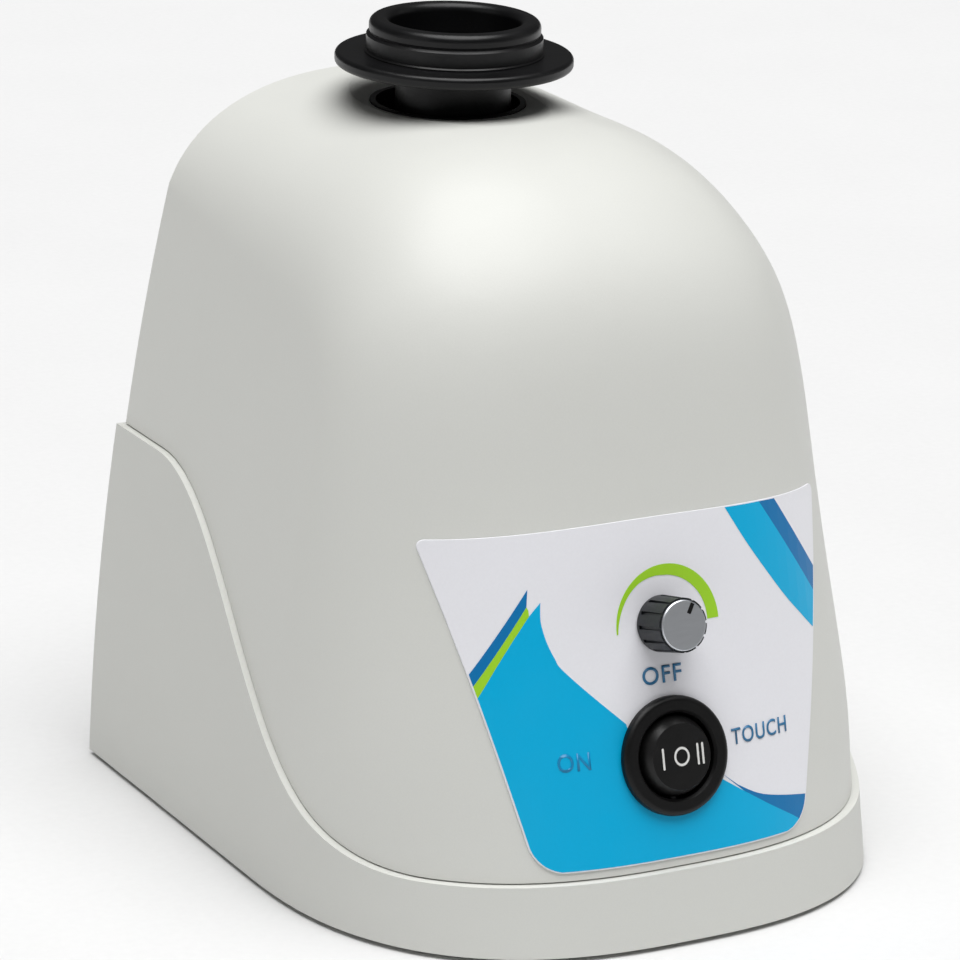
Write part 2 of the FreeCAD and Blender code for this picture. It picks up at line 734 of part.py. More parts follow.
def panel_tool(shape, up):
    """A cutting tool drawn in the panel's frame, in the housing's frame above the rim."""
    moved = shape.copy()
    moved.Placement = Placement(panel_spot(up) - Vector(0, 0, RIM.value), PANEL_TURN)
    return moved


BOARD_UP = S.knob_height_up + S.board_centre_up * math.cos(LEAN)


def board_screw_spots():
    """Screw places on the control board, in the panel's frame."""
    spots = []
    for x in (-S.board_screw_x.value, S.board_screw_x.value):
        for up in (-S.board_screw_up.value, S.board_screw_up.value):
            spots.append((x, up))
    return spots


def gland_tool(radius):
    """The cable gland's hole through the rear walls."""
    start = Vector(S.gland_x.value, S.rear_y.value - 20.0, S.gland_up.value)
    return Part.makeCylinder(radius, 40.0, start, Vector(0, 1, 0))


def raised(shape):
    """Lift a shape from rim heights to bench heights."""
    shape.translate(Vector(0, 0, RIM.value))
    return shape


def build_upper_housing():
    """Dome with a rebated lower edge, a neck hole, panel holes and bosses."""
    bottom = FLOOR.value + S.lap_gap.value
    outside = bell(0.0, bottom)
    rebate = below_wing(S.wing_seam.value).cut(bell(S.lap_depth.value, bottom - 1.0))
    inside = bell(S.upper_wall.value, bottom - 1.0)
    wall = outside.cut(rebate).cut(inside)
    bosses = []
    for x, y in BOSS_SPOTS:
        bosses.append(upright(S.boss_radius.value, x, y, bottom, S.boss_height.value))
    trimmer = bell(S.lap_depth.value + S.boss_skin.value, bottom)
    trimmed = [boss.common(trimmer) for boss in bosses]
    board_bosses = []
    start = -S.upper_wall.value - S.board_boss_drop.value
    end = -S.board_behind.value
    for x, up in board_screw_spots():
        boss = Part.makeCylinder(S.board_boss_radius.value, start - end, Vector(x, up, end))
        board_bosses.append(panel_tool(boss, BOARD_UP))
    wall = wall.fuse(trimmed + board_bosses)
    tools = []
    pilot = S.screw_radius.value + S.thread_gap.value
    pilot_top = S.housing_screw_length.value + S.pilot_spare.value
    for x, y in BOSS_SPOTS:
        tools.append(upright(pilot, x, y, bottom - 1.0, pilot_top))
    for x, up in board_screw_spots():
        hole = Part.makeCylinder(pilot, S.board_screw_length.value, Vector(x, up, end))
        tools.append(panel_tool(hole, BOARD_UP))
    y = MOTOR_Y.value
    top = S.top_height.value
    tools.append(upright(S.hole_radius.value, 0.0, y, top - 30.0, top + 10.0))
    tools.append(dish_tool())
    shaft_hole = S.pot_shaft_radius.value + S.pot_hole_gap.value
    barrel_hole = S.switch_radius.value + S.switch_hole_gap.value
    for radius, up in ((shaft_hole, S.knob_height_up), (barrel_hole, S.switch_height_up)):
        tool = Part.makeCylinder(radius, 20.0, Vector(0, 0, -10.0))
        tools.append(panel_tool(tool, up))
    tools.append(gland_tool(S.gland_hole.value))
    return raised(wall.cut(tools))


def dish_tool():
    """A gentle fall of the dome towards the neck hole, as a turned cutting tool."""
    top = S.top_height.value + 0.05
    inner = S.hole_radius.value - 1.0
    outer = S.dish_radius.value
    drop = S.dish_depth.value
    run = outer - inner
    arc_radius = (run * run + drop * drop) / (2.0 * drop)
    half_run = run / 2.0
    half_drop = arc_radius - math.sqrt(arc_radius * arc_radius - half_run * half_run)
    start = Vector(inner, 0, top - drop)
    half_way = Vector(outer - half_run, 0, top - half_drop)
    end = Vector(outer, 0, top)
    corners = [end, Vector(outer, 0, top + 9.0), Vector(inner, 0, top + 9.0), start]
    edges = [Part.Arc(start, half_way, end).toShape()]
    for before, after in zip(corners, corners[1:]):
        edges.append(Part.LineSegment(before, after).toShape())
    face = Part.Face(Part.Wire(edges))
    tool = face.revolve(Vector(0, 0, 0), Vector(0, 0, 1), 360.0)
    tool.translate(Vector(0, MOTOR_Y.value, 0))
    return tool


def build_base_housing():
    """Tray with a wing-shaped wall that laps over the upper housing."""
    outside = bell(-S.lip.value, 0.0).common(below_wing(0.0))
    inside = bell(S.lap_depth.value - S.lap_gap.value, FLOOR.value)
    tools = [inside]
    recess = S.foot_thickness.value - RIM.value
    for x, y in FOOT_SPOTS:
        tools.append(upright(S.foot_radius.value + S.foot_gap.value, x, y, -1.0, recess))
        tools.append(upright(S.screw_radius.value + S.screw_gap.value, x, y, -1.0, 20.0))
    head_room = S.screw_head_height.value + S.screw_gap.value
    for x, y in BOSS_SPOTS:
        tools.append(upright(S.screw_head_radius.value + S.screw_gap.value * 2.0, x, y, -1.0, head_room))
        tools.append(upright(S.screw_radius.value + S.screw_gap.value, x, y, -1.0, 20.0))
    tools.append(gland_tool(S.gland_hole.value))
    return raised(outside.cut(tools))


def build_ballast_plate():
    """Heavy plate on the base floor, inside the housing form."""
    low = FLOOR.value
    high = low + S.ballast_thickness.value
    plate = bell(S.ballast_inset.value, low, high)
    tools = []
    for x, y in BOSS_SPOTS:
        tools.append(upright(S.boss_radius.value + S.boss_gap.value, x, y, low - 1.0, high + 1.0))
    for x, y in FOOT_SPOTS:
        tools.append(upright(S.screw_radius.value + S.thread_gap.value, x, y, low - 1.0, high + 1.0))
    return raised(plate.cut(tools))


def label_outline():
    """Label outline seen from the front: trapezium with an arched top."""
    top_left = Vector(-S.label_top_half.value, 0, S.label_top.value)
    top_right = Vector(S.label_top_half.value, 0, S.label_top.value)
    low_right = Vector(S.label_bottom_half.value, 0, S.label_bottom.value)
    low_left = Vector(-S.label_bottom_half.value, 0, S.label_bottom.value)
    peak = Vector(0, 0, S.label_top.value + S.label_arch.value)
    edges = [
        Part.Arc(top_left, peak, top_right).toShape(),
        Part.LineSegment(top_right, low_right).toShape(),
        Part.LineSegment(low_right, low_left).toShape(),
        Part.LineSegment(low_left, top_left).toShape(),
    ]
    return Part.Face(Part.Wire(edges))


def label_block():
    """The label's outline with rounded corners, as a block that runs through the front wall."""
    run = 2.0 * S.rear_y.value
    block = label_outline().extrude(Vector(0, run, 0))
    block.translate(Vector(0, -run, 0))
    middle = (S.label_top.value + S.label_bottom.value) / 2.0
    for radius, is_low in ((S.label_corner.value, True), (S.label_small_corner.value, False)):
        corners = []
        for edge in block.Edges:
            runs_through = edge.BoundBox.YLength > run * 0.9
            if runs_through and (edge.CenterOfMass.z < middle) == is_low:
                corners.append(edge)
        block = block.makeFillet(radius, corners)
    return block


def build_control_label():
    """Thin printed film that follows the front of the upper housing."""
    low = S.label_bottom.value / 2.0
    high = S.label_top.value * 1.2
    skin = bell(-S.label_glue.value - S.label_thickness.value, low, high)
    skin = skin.cut(bell(-S.label_glue.value, low - 1.0, high + 1.0))
    film = skin.common(label_block())
    tools = []
    shaft_hole = S.pot_shaft_radius.value + S.pot_hole_gap.value
    barrel_hole = S.switch_radius.value + S.switch_hole_gap.value
    for radius, up in ((shaft_hole, S.knob_height_up), (barrel_hole, S.switch_height_up)):
        tools.append(panel_tool(Part.makeCylinder(radius, 20.0, Vector(0, 0, -10.0)), up))
    return raised(film.cut(tools))


# ---------------------------------------------------------------------------
# Housing, ballast, feet and screws
# ---------------------------------------------------------------------------
feature("upper_housing", build_upper_housing())
feature("base_housing", build_base_housing())
feature("ballast_plate", build_ballast_plate())
feature("control_label", build_control_label())


def build_screw(label, length, spot, is_node=True):
    """Pan head screw: head below the spot, shank above it."""
    body = new_body(label, is_node)
    revolve(body, (
        (0.0, -S.screw_head_height),
        (S.screw_head_radius * 0.8, -S.screw_head_height),
        (S.screw_head_radius, -S.screw_head_height * 0.5),
        (S.screw_head_radius, 0.0),
        (S.screw_radius, 0.0),
        (S.screw_radius, length),
        (0.0, length),
    ))
    slot = new_sketch(body, "XY_Plane", -S.screw_head_height)
    half_slot = S.screw_head_radius * 0.14
    closed_outline(slot, (
        (-S.screw_head_radius, -half_slot),
        (S.screw_head_radius, -half_slot),
        (S.screw_head_radius, half_slot),
        (-S.screw_head_radius, half_slot),
    ))
    pocket(body, slot, S.screw_head_height * 0.5)
    return place(body, spot)


def build_feet():
    """Four rubber feet, each held by a screw that runs up into the ballast plate."""
    foot_floor = S.foot_thickness - S.screw_head_height * 1.2
    for index, (x, y) in enumerate(FOOT_SPOTS, start=1):
        foot = new_body("foot_%d" % index)
        bore = S.screw_radius + S.screw_gap
        sink = S.screw_head_radius + S.foot_sink_gap
        top = S.foot_thickness
        revolve(foot, (
            (sink, 0.0),
            (S.foot_radius - S.foot_edge, 0.0),
            (S.foot_radius, S.foot_edge),
            (S.foot_radius, top),
            (bore, top),
            (bore, top - foot_floor),
            (sink, top - foot_floor),
        ))
        place(foot, (x, y, 0.0))
        seat = top - foot_floor
        length = FLOOR + RIM - seat + S.ballast_thickness - S.thread_gap * 2.0
        build_screw("foot_screw_%d" % index, length, (x, y, seat))


def build_housing_screws():
    """Screws from under the base into the bosses of the upper housing."""
    for index, (x, y) in enumerate(BOSS_SPOTS, start=1):
        seat = RIM + S.screw_head_height + S.screw_gap
        build_screw("housing_screw_%d" % index, S.housing_screw_length, (x, y, seat))


build_feet()
build_housing_screws()

# ---------------------------------------------------------------------------
# Motor carriage on sprung guide posts
# ---------------------------------------------------------------------------
BALLAST_TOP = RIM + FLOOR + S.ballast_thickness
CARRIAGE_LOW = BALLAST_TOP + S.spring_room
CARRIAGE_TOP = CARRIAGE_LOW + S.carriage_thickness
POST_SPOTS = [(side * S.post_x, end * S.post_y) for side in (-1.0, 1.0) for end in (-1.0, 1.0)]


def build_carriage():
    """Plate that carries the motor and slides down the guide posts."""
    plate = new_body("carriage_plate")
    outline = new_sketch(plate, "XY_Plane")
    half_x = S.carriage_length / 2.0
    half_y = S.carriage_width / 2.0
    corner = S.carriage_corner
    closed_outline(outline, (
        (-half_x + corner, -half_y),
        (half_x - corner, -half_y),
        (half_x, -half_y + corner),
        (half_x, half_y - corner),
        (half_x - corner, half_y),
        (-half_x + corner, half_y),
        (-half_x, half_y - corner),
        (-half_x, -half_y + corner),
    ))
    for x, y in POST_SPOTS:
        circle(outline, x, y, S.post_radius + S.slide_gap)
    circle(outline, 0.0, 0.0, S.bearing_outer + S.carriage_bore_gap)
    pad(plate, outline, S.carriage_thickness)
    place(plate, (0.0, MOTOR_Y, CARRIAGE_LOW))


def build_posts_and_springs():
    """Headed guide posts in the ballast plate and the springs that lift the carriage."""
    for index, (x, y) in enumerate(POST_SPOTS, start=1):
        post = new_body("guide_post_%d" % index)
        under_head = CARRIAGE_TOP - BALLAST_TOP
        revolve(post, (
            (0.0, 0.0),
            (S.post_radius, 0.0),
            (S.post_radius, under_head),
            (S.post_head_radius, under_head),
            (S.post_head_radius, under_head + S.post_head_height),
            (0.0, under_head + S.post_head_height),
        ))
        place(post, (x, y + MOTOR_Y, BALLAST_TOP))
        helix = doc.addObject("Part::Helix", "spring_line_%d" % index)
        bind(helix, "Radius", S.spring_radius)
        bind(helix, "Pitch", S.spring_pitch)
        bind(helix, "Height", S.spring_room - (S.spring_wire + S.spring_gap) * 2.0)
        helix.Style = 1
        ring = doc.addObject("Part::Circle", "spring_ring_%d" % index)
        bind(ring, "Radius", S.spring_wire)
        place(ring, (S.spring_radius, 0.0, 0.0), Rotation(Vector(1, 0, 0), 90.0))
        spring = doc.addObject("Part::Sweep", "spring_%d" % index)
        spring.Sections = [ring]
        spring.Spine = (helix, [])
        spring.Solid = True
        spring.Frenet = True
        finish_node(spring, "spring_%d" % index)
        place(spring, (x, y + MOTOR_Y, BALLAST_TOP + S.spring_wire + S.spring_gap))


build_carriage()
build_posts_and_springs()

# ---------------------------------------------------------------------------
# Motor, turned pieces with their origin on the carriage plate
# ---------------------------------------------------------------------------
MOTOR_TOP = CARRIAGE_TOP + S.motor_length


def turned(label, points, low, y=MOTOR_Y):
    """A turned sub-part on an upright axis."""
    body = new_body(label)
    revolve(body, points)
    place(body, (0.0, y, low))
    return body


def tube_points(inner, outer, height):
    """Section of a plain ring that stands on its own base."""
    return ((inner, 0.0), (outer, 0.0), (outer, height), (inner, height))


def build_motor():
    """Motor can with its cap, bearings, stator, windings, rotor core and shaft."""
    inner = S.motor_radius - S.can_wall
    side = S.motor_length - S.cap_thickness
    turned("motor_can", (
        (S.bearing_outer, 0.0),
        (S.motor_radius, 0.0),
        (S.motor_radius, side),
        (inner, side),
        (inner, S.can_wall * 2.0),
        (S.bearing_outer, S.can_wall * 2.0),
    ), CARRIAGE_TOP)
    turned("motor_cap", (
        (S.bearing_outer, side),
        (S.motor_radius, side),
        (S.motor_radius, S.motor_length),
        (S.bearing_outer, S.motor_length),
    ), CARRIAGE_TOP)
    low_end = CARRIAGE_TOP
    high_end = MOTOR_TOP - S.bearing_height
    bearing = tube_points(S.shaft_radius + 0.03, S.bearing_outer, S.bearing_height)
    turned("motor_bearing_low", bearing, low_end)
    turned("motor_bearing_high", bearing, high_end)
    stator_low = CARRIAGE_TOP + S.stator_lift
    turned("motor_stator", tube_points(S.stator_inner, inner, S.stator_height), stator_low)
    windings = new_body("motor_windings")
    ring = new_sketch(windings, "XZ_Plane")
    middle = (S.stator_inner + inner) / 2.0
    half = (inner - S.stator_inner) * S.winding_share / 2.0
    crown = S.stator_height + S.winding_height
    shoulder = crown - half / 2.0
    closed_outline(ring, (
        (middle - half, S.stator_height),
        (middle + half, S.stator_height),
        (middle + half, shoulder),
        (middle + half * 0.5, crown),
        (middle - half * 0.5, crown),
        (middle - half, shoulder),
    ))
    turned_ring = windings.newObject("PartDesign::Revolution", "motor_windings_turned")
    turned_ring.Profile = ring
    turned_ring.ReferenceAxis = (ring, ["V_Axis"])
    turned_ring.Angle = 360.0
    place(windings, (0.0, MOTOR_Y, stator_low))
    rotor = S.stator_inner - S.air_gap
    turned("rotor_core", tube_points(S.shaft_radius, rotor, S.stator_height), stator_low)
    turned("motor_shaft", (
        (0.0, 0.0),
        (S.shaft_radius, 0.0),
        (S.shaft_radius, S.motor_length + S.shaft_rise),
        (0.0, S.motor_length + S.shaft_rise),
    ), CARRIAGE_TOP)


build_motor()

# ---------------------------------------------------------------------------
# Eccentric drive and head
# ---------------------------------------------------------------------------
HEAD_Y = MOTOR_Y - S.orbit
HUB_LOW = MOTOR_TOP + S.hub_lift
HUB_TOP = HUB_LOW + S.hub_height
RACE_LOW = HUB_TOP + S.race_lift
RACE_TOP = RACE_LOW + S.race_height


def build_hub():
    """Hub on the motor shaft with an eccentric pin and a counterweight opposite to it."""
    hub = new_body("eccentric_hub")
    disc = new_sketch(hub, "XY_Plane")
    circle(disc, 0.0, 0.0, S.hub_radius)
    pad(hub, disc, S.hub_height)
    weight = new_sketch(hub, "XY_Plane")
    half = S.weight_radius * 0.85
    closed_outline(weight, (
        (-half, S.hub_radius * 0.3),
        (half, S.hub_radius * 0.3),
        (half * 0.88, S.weight_radius * 0.7),
        (half * 0.5, S.weight_radius * 0.94),
        (-half * 0.5, S.weight_radius * 0.94),
        (-half * 0.88, S.weight_radius * 0.7),
    ))
    pad(hub, weight, S.weight_height)
    pin = new_sketch(hub, "XY_Plane", S.hub_height)
    circle(pin, 0.0, -S.orbit, S.pin_radius)
    pad(hub, pin, S.pin_height)
    bore = new_sketch(hub, "XY_Plane")
    circle(bore, 0.0, 0.0, S.shaft_radius)
    pocket(hub, bore, S.shaft_rise - S.hub_lift)
    place(hub, (0.0, MOTOR_Y, HUB_LOW))


def build_head_bearing():
    """Ball bearing between the eccentric pin and the holder."""
    inner_outer = S.pin_radius + S.race_wall
    outer_inner = S.race_outer - S.race_wall
    turned("head_bearing_inner", tube_points(S.pin_radius, inner_outer, S.race_height), RACE_LOW, HEAD_Y)
    turned("head_bearing_outer", tube_points(outer_inner, S.race_outer, S.race_height), RACE_LOW, HEAD_Y)
    balls = []
    count = int(S.ball_count.value)
    pitch = (inner_outer + outer_inner) / 2.0
    for index in range(count):
        ball = doc.addObject("Part::Sphere", "ball_%d" % index)
        bind(ball, "Radius", S.ball_radius)
        angle = 2.0 * math.pi * index / count
        middle = RACE_LOW + S.race_height / 2.0
        place(ball, (pitch * math.cos(angle), HEAD_Y + pitch * math.sin(angle), middle))
        balls.append(ball)
    finish_node(fuse("head_bearing_balls", balls), "head_bearing_balls")


def build_head_holder():
    """Cup-shaped holder over the bearing, with the spigot that carries the rubber cup."""
    outer = S.race_outer + S.holder_wall
    roof = S.race_height + S.holder_wall
    low = RACE_LOW
    spigot_end = RIM + S.spigot_top - low
    hollow = S.pin_height - S.race_lift + S.pin_room
    turned("head_holder", (
        (S.race_outer, 0.0),
        (outer, 0.0),
        (outer, roof),
        (S.spigot_radius, roof + S.holder_wall / 2.0),
        (S.spigot_radius, spigot_end),
        (0.0, spigot_end),
        (0.0, hollow),
        (S.pin_radius + S.pin_room, hollow),
        (S.pin_radius + S.pin_room, S.race_height),
        (S.race_outer, S.race_height),
    ), low, HEAD_Y)


def build_cup():
    """Rubber cup head: rim, stepped wall, flange and neck."""
    cup = new_body("cup_head")
    flange_low = S.flange_top - S.flange_thickness
    bead_low = S.cup_rim_top - S.cup_rim_height
    revolve(cup, (
        (0.0, S.spigot_top),
        (S.spigot_radius, S.spigot_top),
        (S.spigot_radius, S.neck_bottom),
        (S.neck_radius, S.neck_bottom),
        (S.neck_radius, flange_low - S.flange_taper),
        (S.flange_radius, flange_low + S.flange_taper),
        (S.flange_radius, S.flange_top),
        (S.cup_skirt_radius + S.cup_foot, S.flange_top),
        (S.cup_skirt_radius + S.cup_foot, S.flange_top + S.cup_foot),
        (S.cup_skirt_radius, S.flange_top + S.cup_foot * 2.0),
        (S.cup_skirt_radius, bead_low - S.cup_groove_height * 2.0),
        (S.cup_rim_radius - S.cup_groove, bead_low - S.cup_groove_height),
        (S.cup_rim_radius, bead_low),
        (S.cup_rim_radius, S.cup_rim_top),
        (S.cup_mouth_radius, S.cup_rim_top),
        (S.cup_mouth_radius, S.cup_floor + S.cup_bowl),
        (S.cup_floor_radius, S.cup_floor),
        (0.0, S.cup_floor),
    ))
    round_edges(cup, S.cup_rim_round, ring_edge(S.cup_rim_radius, S.cup_rim_top))
    round_edges(cup, S.cup_rim_round, ring_edge(S.cup_mouth_radius, S.cup_rim_top))
    round_edges(cup, S.flange_round, ring_edge(S.flange_radius, S.flange_top))
    round_edges(cup, S.flange_taper, ring_edge(S.flange_radius, flange_low + S.flange_taper))
    place(cup, (0.0, HEAD_Y, RIM))


def build_seal_ring():
    """Black collar in the neck hole, with a shoulder under the dome."""
    edge = S.top_height - S.dish_depth
    outer = S.hole_radius - S.seal_gap
    inner = outer - S.seal_wall
    low = edge - S.seal_drop
    shoulder = edge - S.upper_wall - S.seal_shoulder_drop
    turned("neck_seal", (
        (inner, low),
        (outer + S.seal_shoulder, low),
        (outer + S.seal_shoulder, shoulder),
        (outer, shoulder),
        (outer, edge + S.seal_proud),
        (inner, edge + S.seal_proud),
    ), RIM)


build_hub()
build_head_bearing()
build_head_holder()
build_cup()
build_seal_ring()

# ---------------------------------------------------------------------------
# Speed control and knob, drawn in the panel's frame
# ---------------------------------------------------------------------------
def build_speed_control():
    """Rotary control behind the panel, and its shaft."""
    back = -S.board_behind
    front = back + S.pot_depth
    collar = S.pot_shaft_radius + S.pot_collar_wall
    shaft_top = S.knob_proud - S.knob_cap_thickness - S.knob_web
    inner = S.pot_shaft_radius + S.slide_gap
    body = new_body("speed_control")
    revolve(body, (
        (inner, back),
        (S.pot_radius, back),
        (S.pot_radius, front),
        (collar, front),
        (collar, front + S.pot_collar_height),
        (inner, front + S.pot_collar_height),
    ))
    on_panel(body, S.knob_height_up)
    shaft = new_body("speed_shaft")
    revolve(shaft, (
        (0.0, back + S.pot_shaft_inset),
        (S.pot_shaft_radius, back + S.pot_shaft_inset),
        (S.pot_shaft_radius, shaft_top),
        (0.0, shaft_top),
    ))
    on_panel(shaft, S.knob_height_up)


def build_knob():
    """Grooved knob skirt with a plain disc cap that carries the pointer slot."""
    skirt = new_body("knob_skirt")
    top = S.knob_proud - S.knob_cap_thickness * 0.5
    shaft_end = S.knob_proud - S.knob_cap_thickness - S.knob_web
    seat = S.knob_proud - S.knob_cap_thickness
    bore = S.pot_shaft_radius + S.thread_gap
    revolve(skirt, (
        (bore, S.knob_gap),
        (S.knob_radius, S.knob_gap),
        (S.knob_radius - S.knob_taper, top),
        (S.knob_cap_radius, top),
        (S.knob_cap_radius, seat),
        (0.0, seat),
        (0.0, shaft_end),
        (bore, shaft_end),
    ))
    notch = new_sketch(skirt, "XY_Plane", S.knob_gap * 2.0)
    inside = S.knob_radius - S.knob_groove
    outside = S.knob_radius + S.knob_groove
    half_groove = S.knob_groove_width / 2.0
    closed_outline(notch, (
        (-half_groove * 0.4, inside),
        (half_groove * 0.4, inside),
        (half_groove, outside),
        (-half_groove, outside),
    ))
    groove = pocket(skirt, notch, S.knob_proud)
    polar(skirt, groove, S.knob_grooves)
    turn = PANEL_TURN.multiply(Rotation(Vector(0, 0, 1), -S.knob_pointer_angle.value))
    skirt.Placement = Placement(panel_spot(S.knob_height_up), turn)
    cap = new_body("knob_cap")
    revolve(cap, (
        (0.0, seat),
        (S.knob_cap_radius, seat),
        (S.knob_cap_radius, S.knob_proud - S.knob_cap_edge),
        (S.knob_cap_radius - S.knob_cap_edge, S.knob_proud),
        (0.0, S.knob_proud),
    ))
    slot = new_sketch(cap, "XY_Plane", S.knob_proud - S.pointer_depth)
    half = S.knob_pointer_width / 2.0
    closed_outline(slot, (
        (-half, S.knob_cap_radius * 0.5),
        (half, S.knob_cap_radius * 0.5),
        (half, S.knob_cap_radius * 1.1),
        (-half, S.knob_cap_radius * 1.1),
    ))
    pocket(cap, slot, S.knob_cap_thickness)
    cap.Placement = Placement(panel_spot(S.knob_height_up), turn)


build_speed_control()
build_knob()


# ---------------------------------------------------------------------------
# Rocker switch, drawn in the panel's frame
# ---------------------------------------------------------------------------
SKIN = S.label_glue + S.label_thickness + S.bezel_seat


def build_switch():
    """Round snap-in switch: bezel and barrel, rocker, pin and terminals."""
    cavity = S.rocker_radius + S.rocker_gap
    bezel_top = SKIN + S.bezel_thickness
    well = -S.rocker_pivot_depth - S.rocker_radius - S.barrel_room
    housing = new_body("switch_housing")
    revolve(housing, (
        (0.0, -S.switch_depth),
        (S.switch_radius, -S.switch_depth),
        (S.switch_radius, SKIN),
        (S.bezel_radius, SKIN),
        (S.bezel_radius, bezel_top),
        (cavity + S.bezel_lead, bezel_top),
        (cavity, bezel_top - S.bezel_lead),
        (cavity, well),
        (0.0, well),
    ))
    round_edges(housing, S.bezel_bevel, ring_edge(S.bezel_radius, bezel_top))
    pin_hole = new_sketch(housing, "XZ_Plane", -S.switch_radius)
    circle(pin_hole, 0.0, -S.rocker_pivot_depth, S.rocker_pin_radius)
    pocket(housing, pin_hole, S.switch_radius * 2.0)
    on_panel(housing, S.switch_height_up)
    ball = doc.addObject("Part::Sphere", "rocker_ball")
    bind(ball, "Radius", S.rocker_radius)
    place(ball, (0.0, 0.0, -S.rocker_pivot_depth))
    waist = S.rocker_radius * S.rocker_waist
    block = box("rocker_block", S.rocker_radius * 2.0, S.rocker_radius * 2.0,
                S.rocker_face + S.rocker_pivot_depth + waist,
                (-S.rocker_radius, -S.rocker_radius, -S.rocker_pivot_depth - waist))
    shell = doc.addObject("Part::Common", "rocker_form")
    shell.Base = ball
    shell.Tool = block
    bore = cylinder("rocker_bore", S.rocker_pin_radius + S.pin_gap, S.rocker_radius * 4.0,
                    (0.0, S.rocker_radius * 2.0, -S.rocker_pivot_depth), Rotation(Vector(1, 0, 0), 90.0))
    rocker = finish_node(cut("rocker", shell, bore), "rocker")
    on_panel(rocker, S.switch_height_up)
    pin = new_body("rocker_pin")
    pin_sketch = new_sketch(pin, "XZ_Plane", -S.switch_radius + S.pin_inset)
    circle(pin_sketch, 0.0, -S.rocker_pivot_depth, S.rocker_pin_radius)
    pad(pin, pin_sketch, (S.switch_radius - S.pin_inset) * 2.0)
    on_panel(pin, S.switch_height_up)
    blades = []
    thick, wide, long = S.terminal_thickness, S.terminal_width, S.terminal_length
    for index in (-1, 0, 1):
        middle = S.terminal_pitch * float(index)
        spot = (middle - thick / 2.0, -wide / 2.0, -S.switch_depth - long)
        blades.append(box("blade_%d" % (index + 2), thick, wide, long, spot))
    terminals = finish_node(fuse("switch_terminals", blades), "switch_terminals")
    on_panel(terminals, S.switch_height_up)


build_switch()


# ---------------------------------------------------------------------------
# Control board, drawn in the panel's frame
# ---------------------------------------------------------------------------
BOARD_BACK = -S.board_behind - S.board_thickness
FIN_COUNT = 6


def build_board():
    """Control board with its screws, capacitors, heat sink, power switch and terminal block."""
    half_x = S.board_length / 2.0
    half_up = S.board_width / 2.0
    board = new_body("control_board")
    outline = new_sketch(board, "XY_Plane", BOARD_BACK)
    closed_outline(outline, (
        (-half_x, -half_up),
        (half_x, -half_up),
        (half_x, half_up),
        (-half_x, half_up),
    ))
    for side in (-1.0, 1.0):
        for end in (-1.0, 1.0):
            circle(outline, S.board_screw_x * side, S.board_screw_up * end, S.screw_radius + S.screw_gap)
    pad(board, outline, S.board_thickness)
    on_panel(board, BOARD_UP)
    screws = []
    for index, (x, up) in enumerate(board_screw_spots(), start=1):
        spot = (x, up, BOARD_BACK)
        screws.append(build_screw("board_screw_%d" % index, S.board_screw_length, spot, False))
    on_panel(finish_node(fuse("board_screws", screws), "board_screws"), BOARD_UP)
    capacitors = []
    for index, x in enumerate((S.can_1_x, S.can_2_x), start=1):
        spot = (x, S.can_up, BOARD_BACK - S.can_height)
        capacitors.append(cylinder("can_%d" % index, S.can_radius, S.can_height, spot))
    on_panel(finish_node(fuse("board_capacitors", capacitors), "board_capacitors"), BOARD_UP)
    sink_low = BOARD_BACK - S.sink_height
    spot = (S.sink_x, S.sink_up, sink_low)
    fins = [box("sink_plate", S.sink_length, S.sink_wall, S.sink_height, spot)]
    pitch = (S.sink_length - S.fin_thickness) / float(FIN_COUNT - 1)
    for index in range(FIN_COUNT):
        spot = (S.sink_x + pitch * float(index), S.sink_up + S.sink_wall, sink_low)
        fins.append(box("sink_fin_%d" % index, S.fin_thickness, S.fin_depth, S.sink_height, spot))
    on_panel(finish_node(fuse("board_heatsink", fins), "board_heatsink"), BOARD_UP)
    across = (S.triac_x, S.triac_x + S.triac_width)
    up = (S.sink_up - S.triac_thickness, S.sink_up)
    triac_low = BOARD_BACK - S.triac_height
    on_panel(slab("board_triac", across, up, triac_low, S.triac_height), BOARD_UP)
    across = (S.block_x, S.block_x + S.block_length)
    up = (S.block_up, S.block_up + S.block_width)
    block_low = BOARD_BACK - S.block_height
    on_panel(slab("terminal_block", across, up, block_low, S.block_height), BOARD_UP)


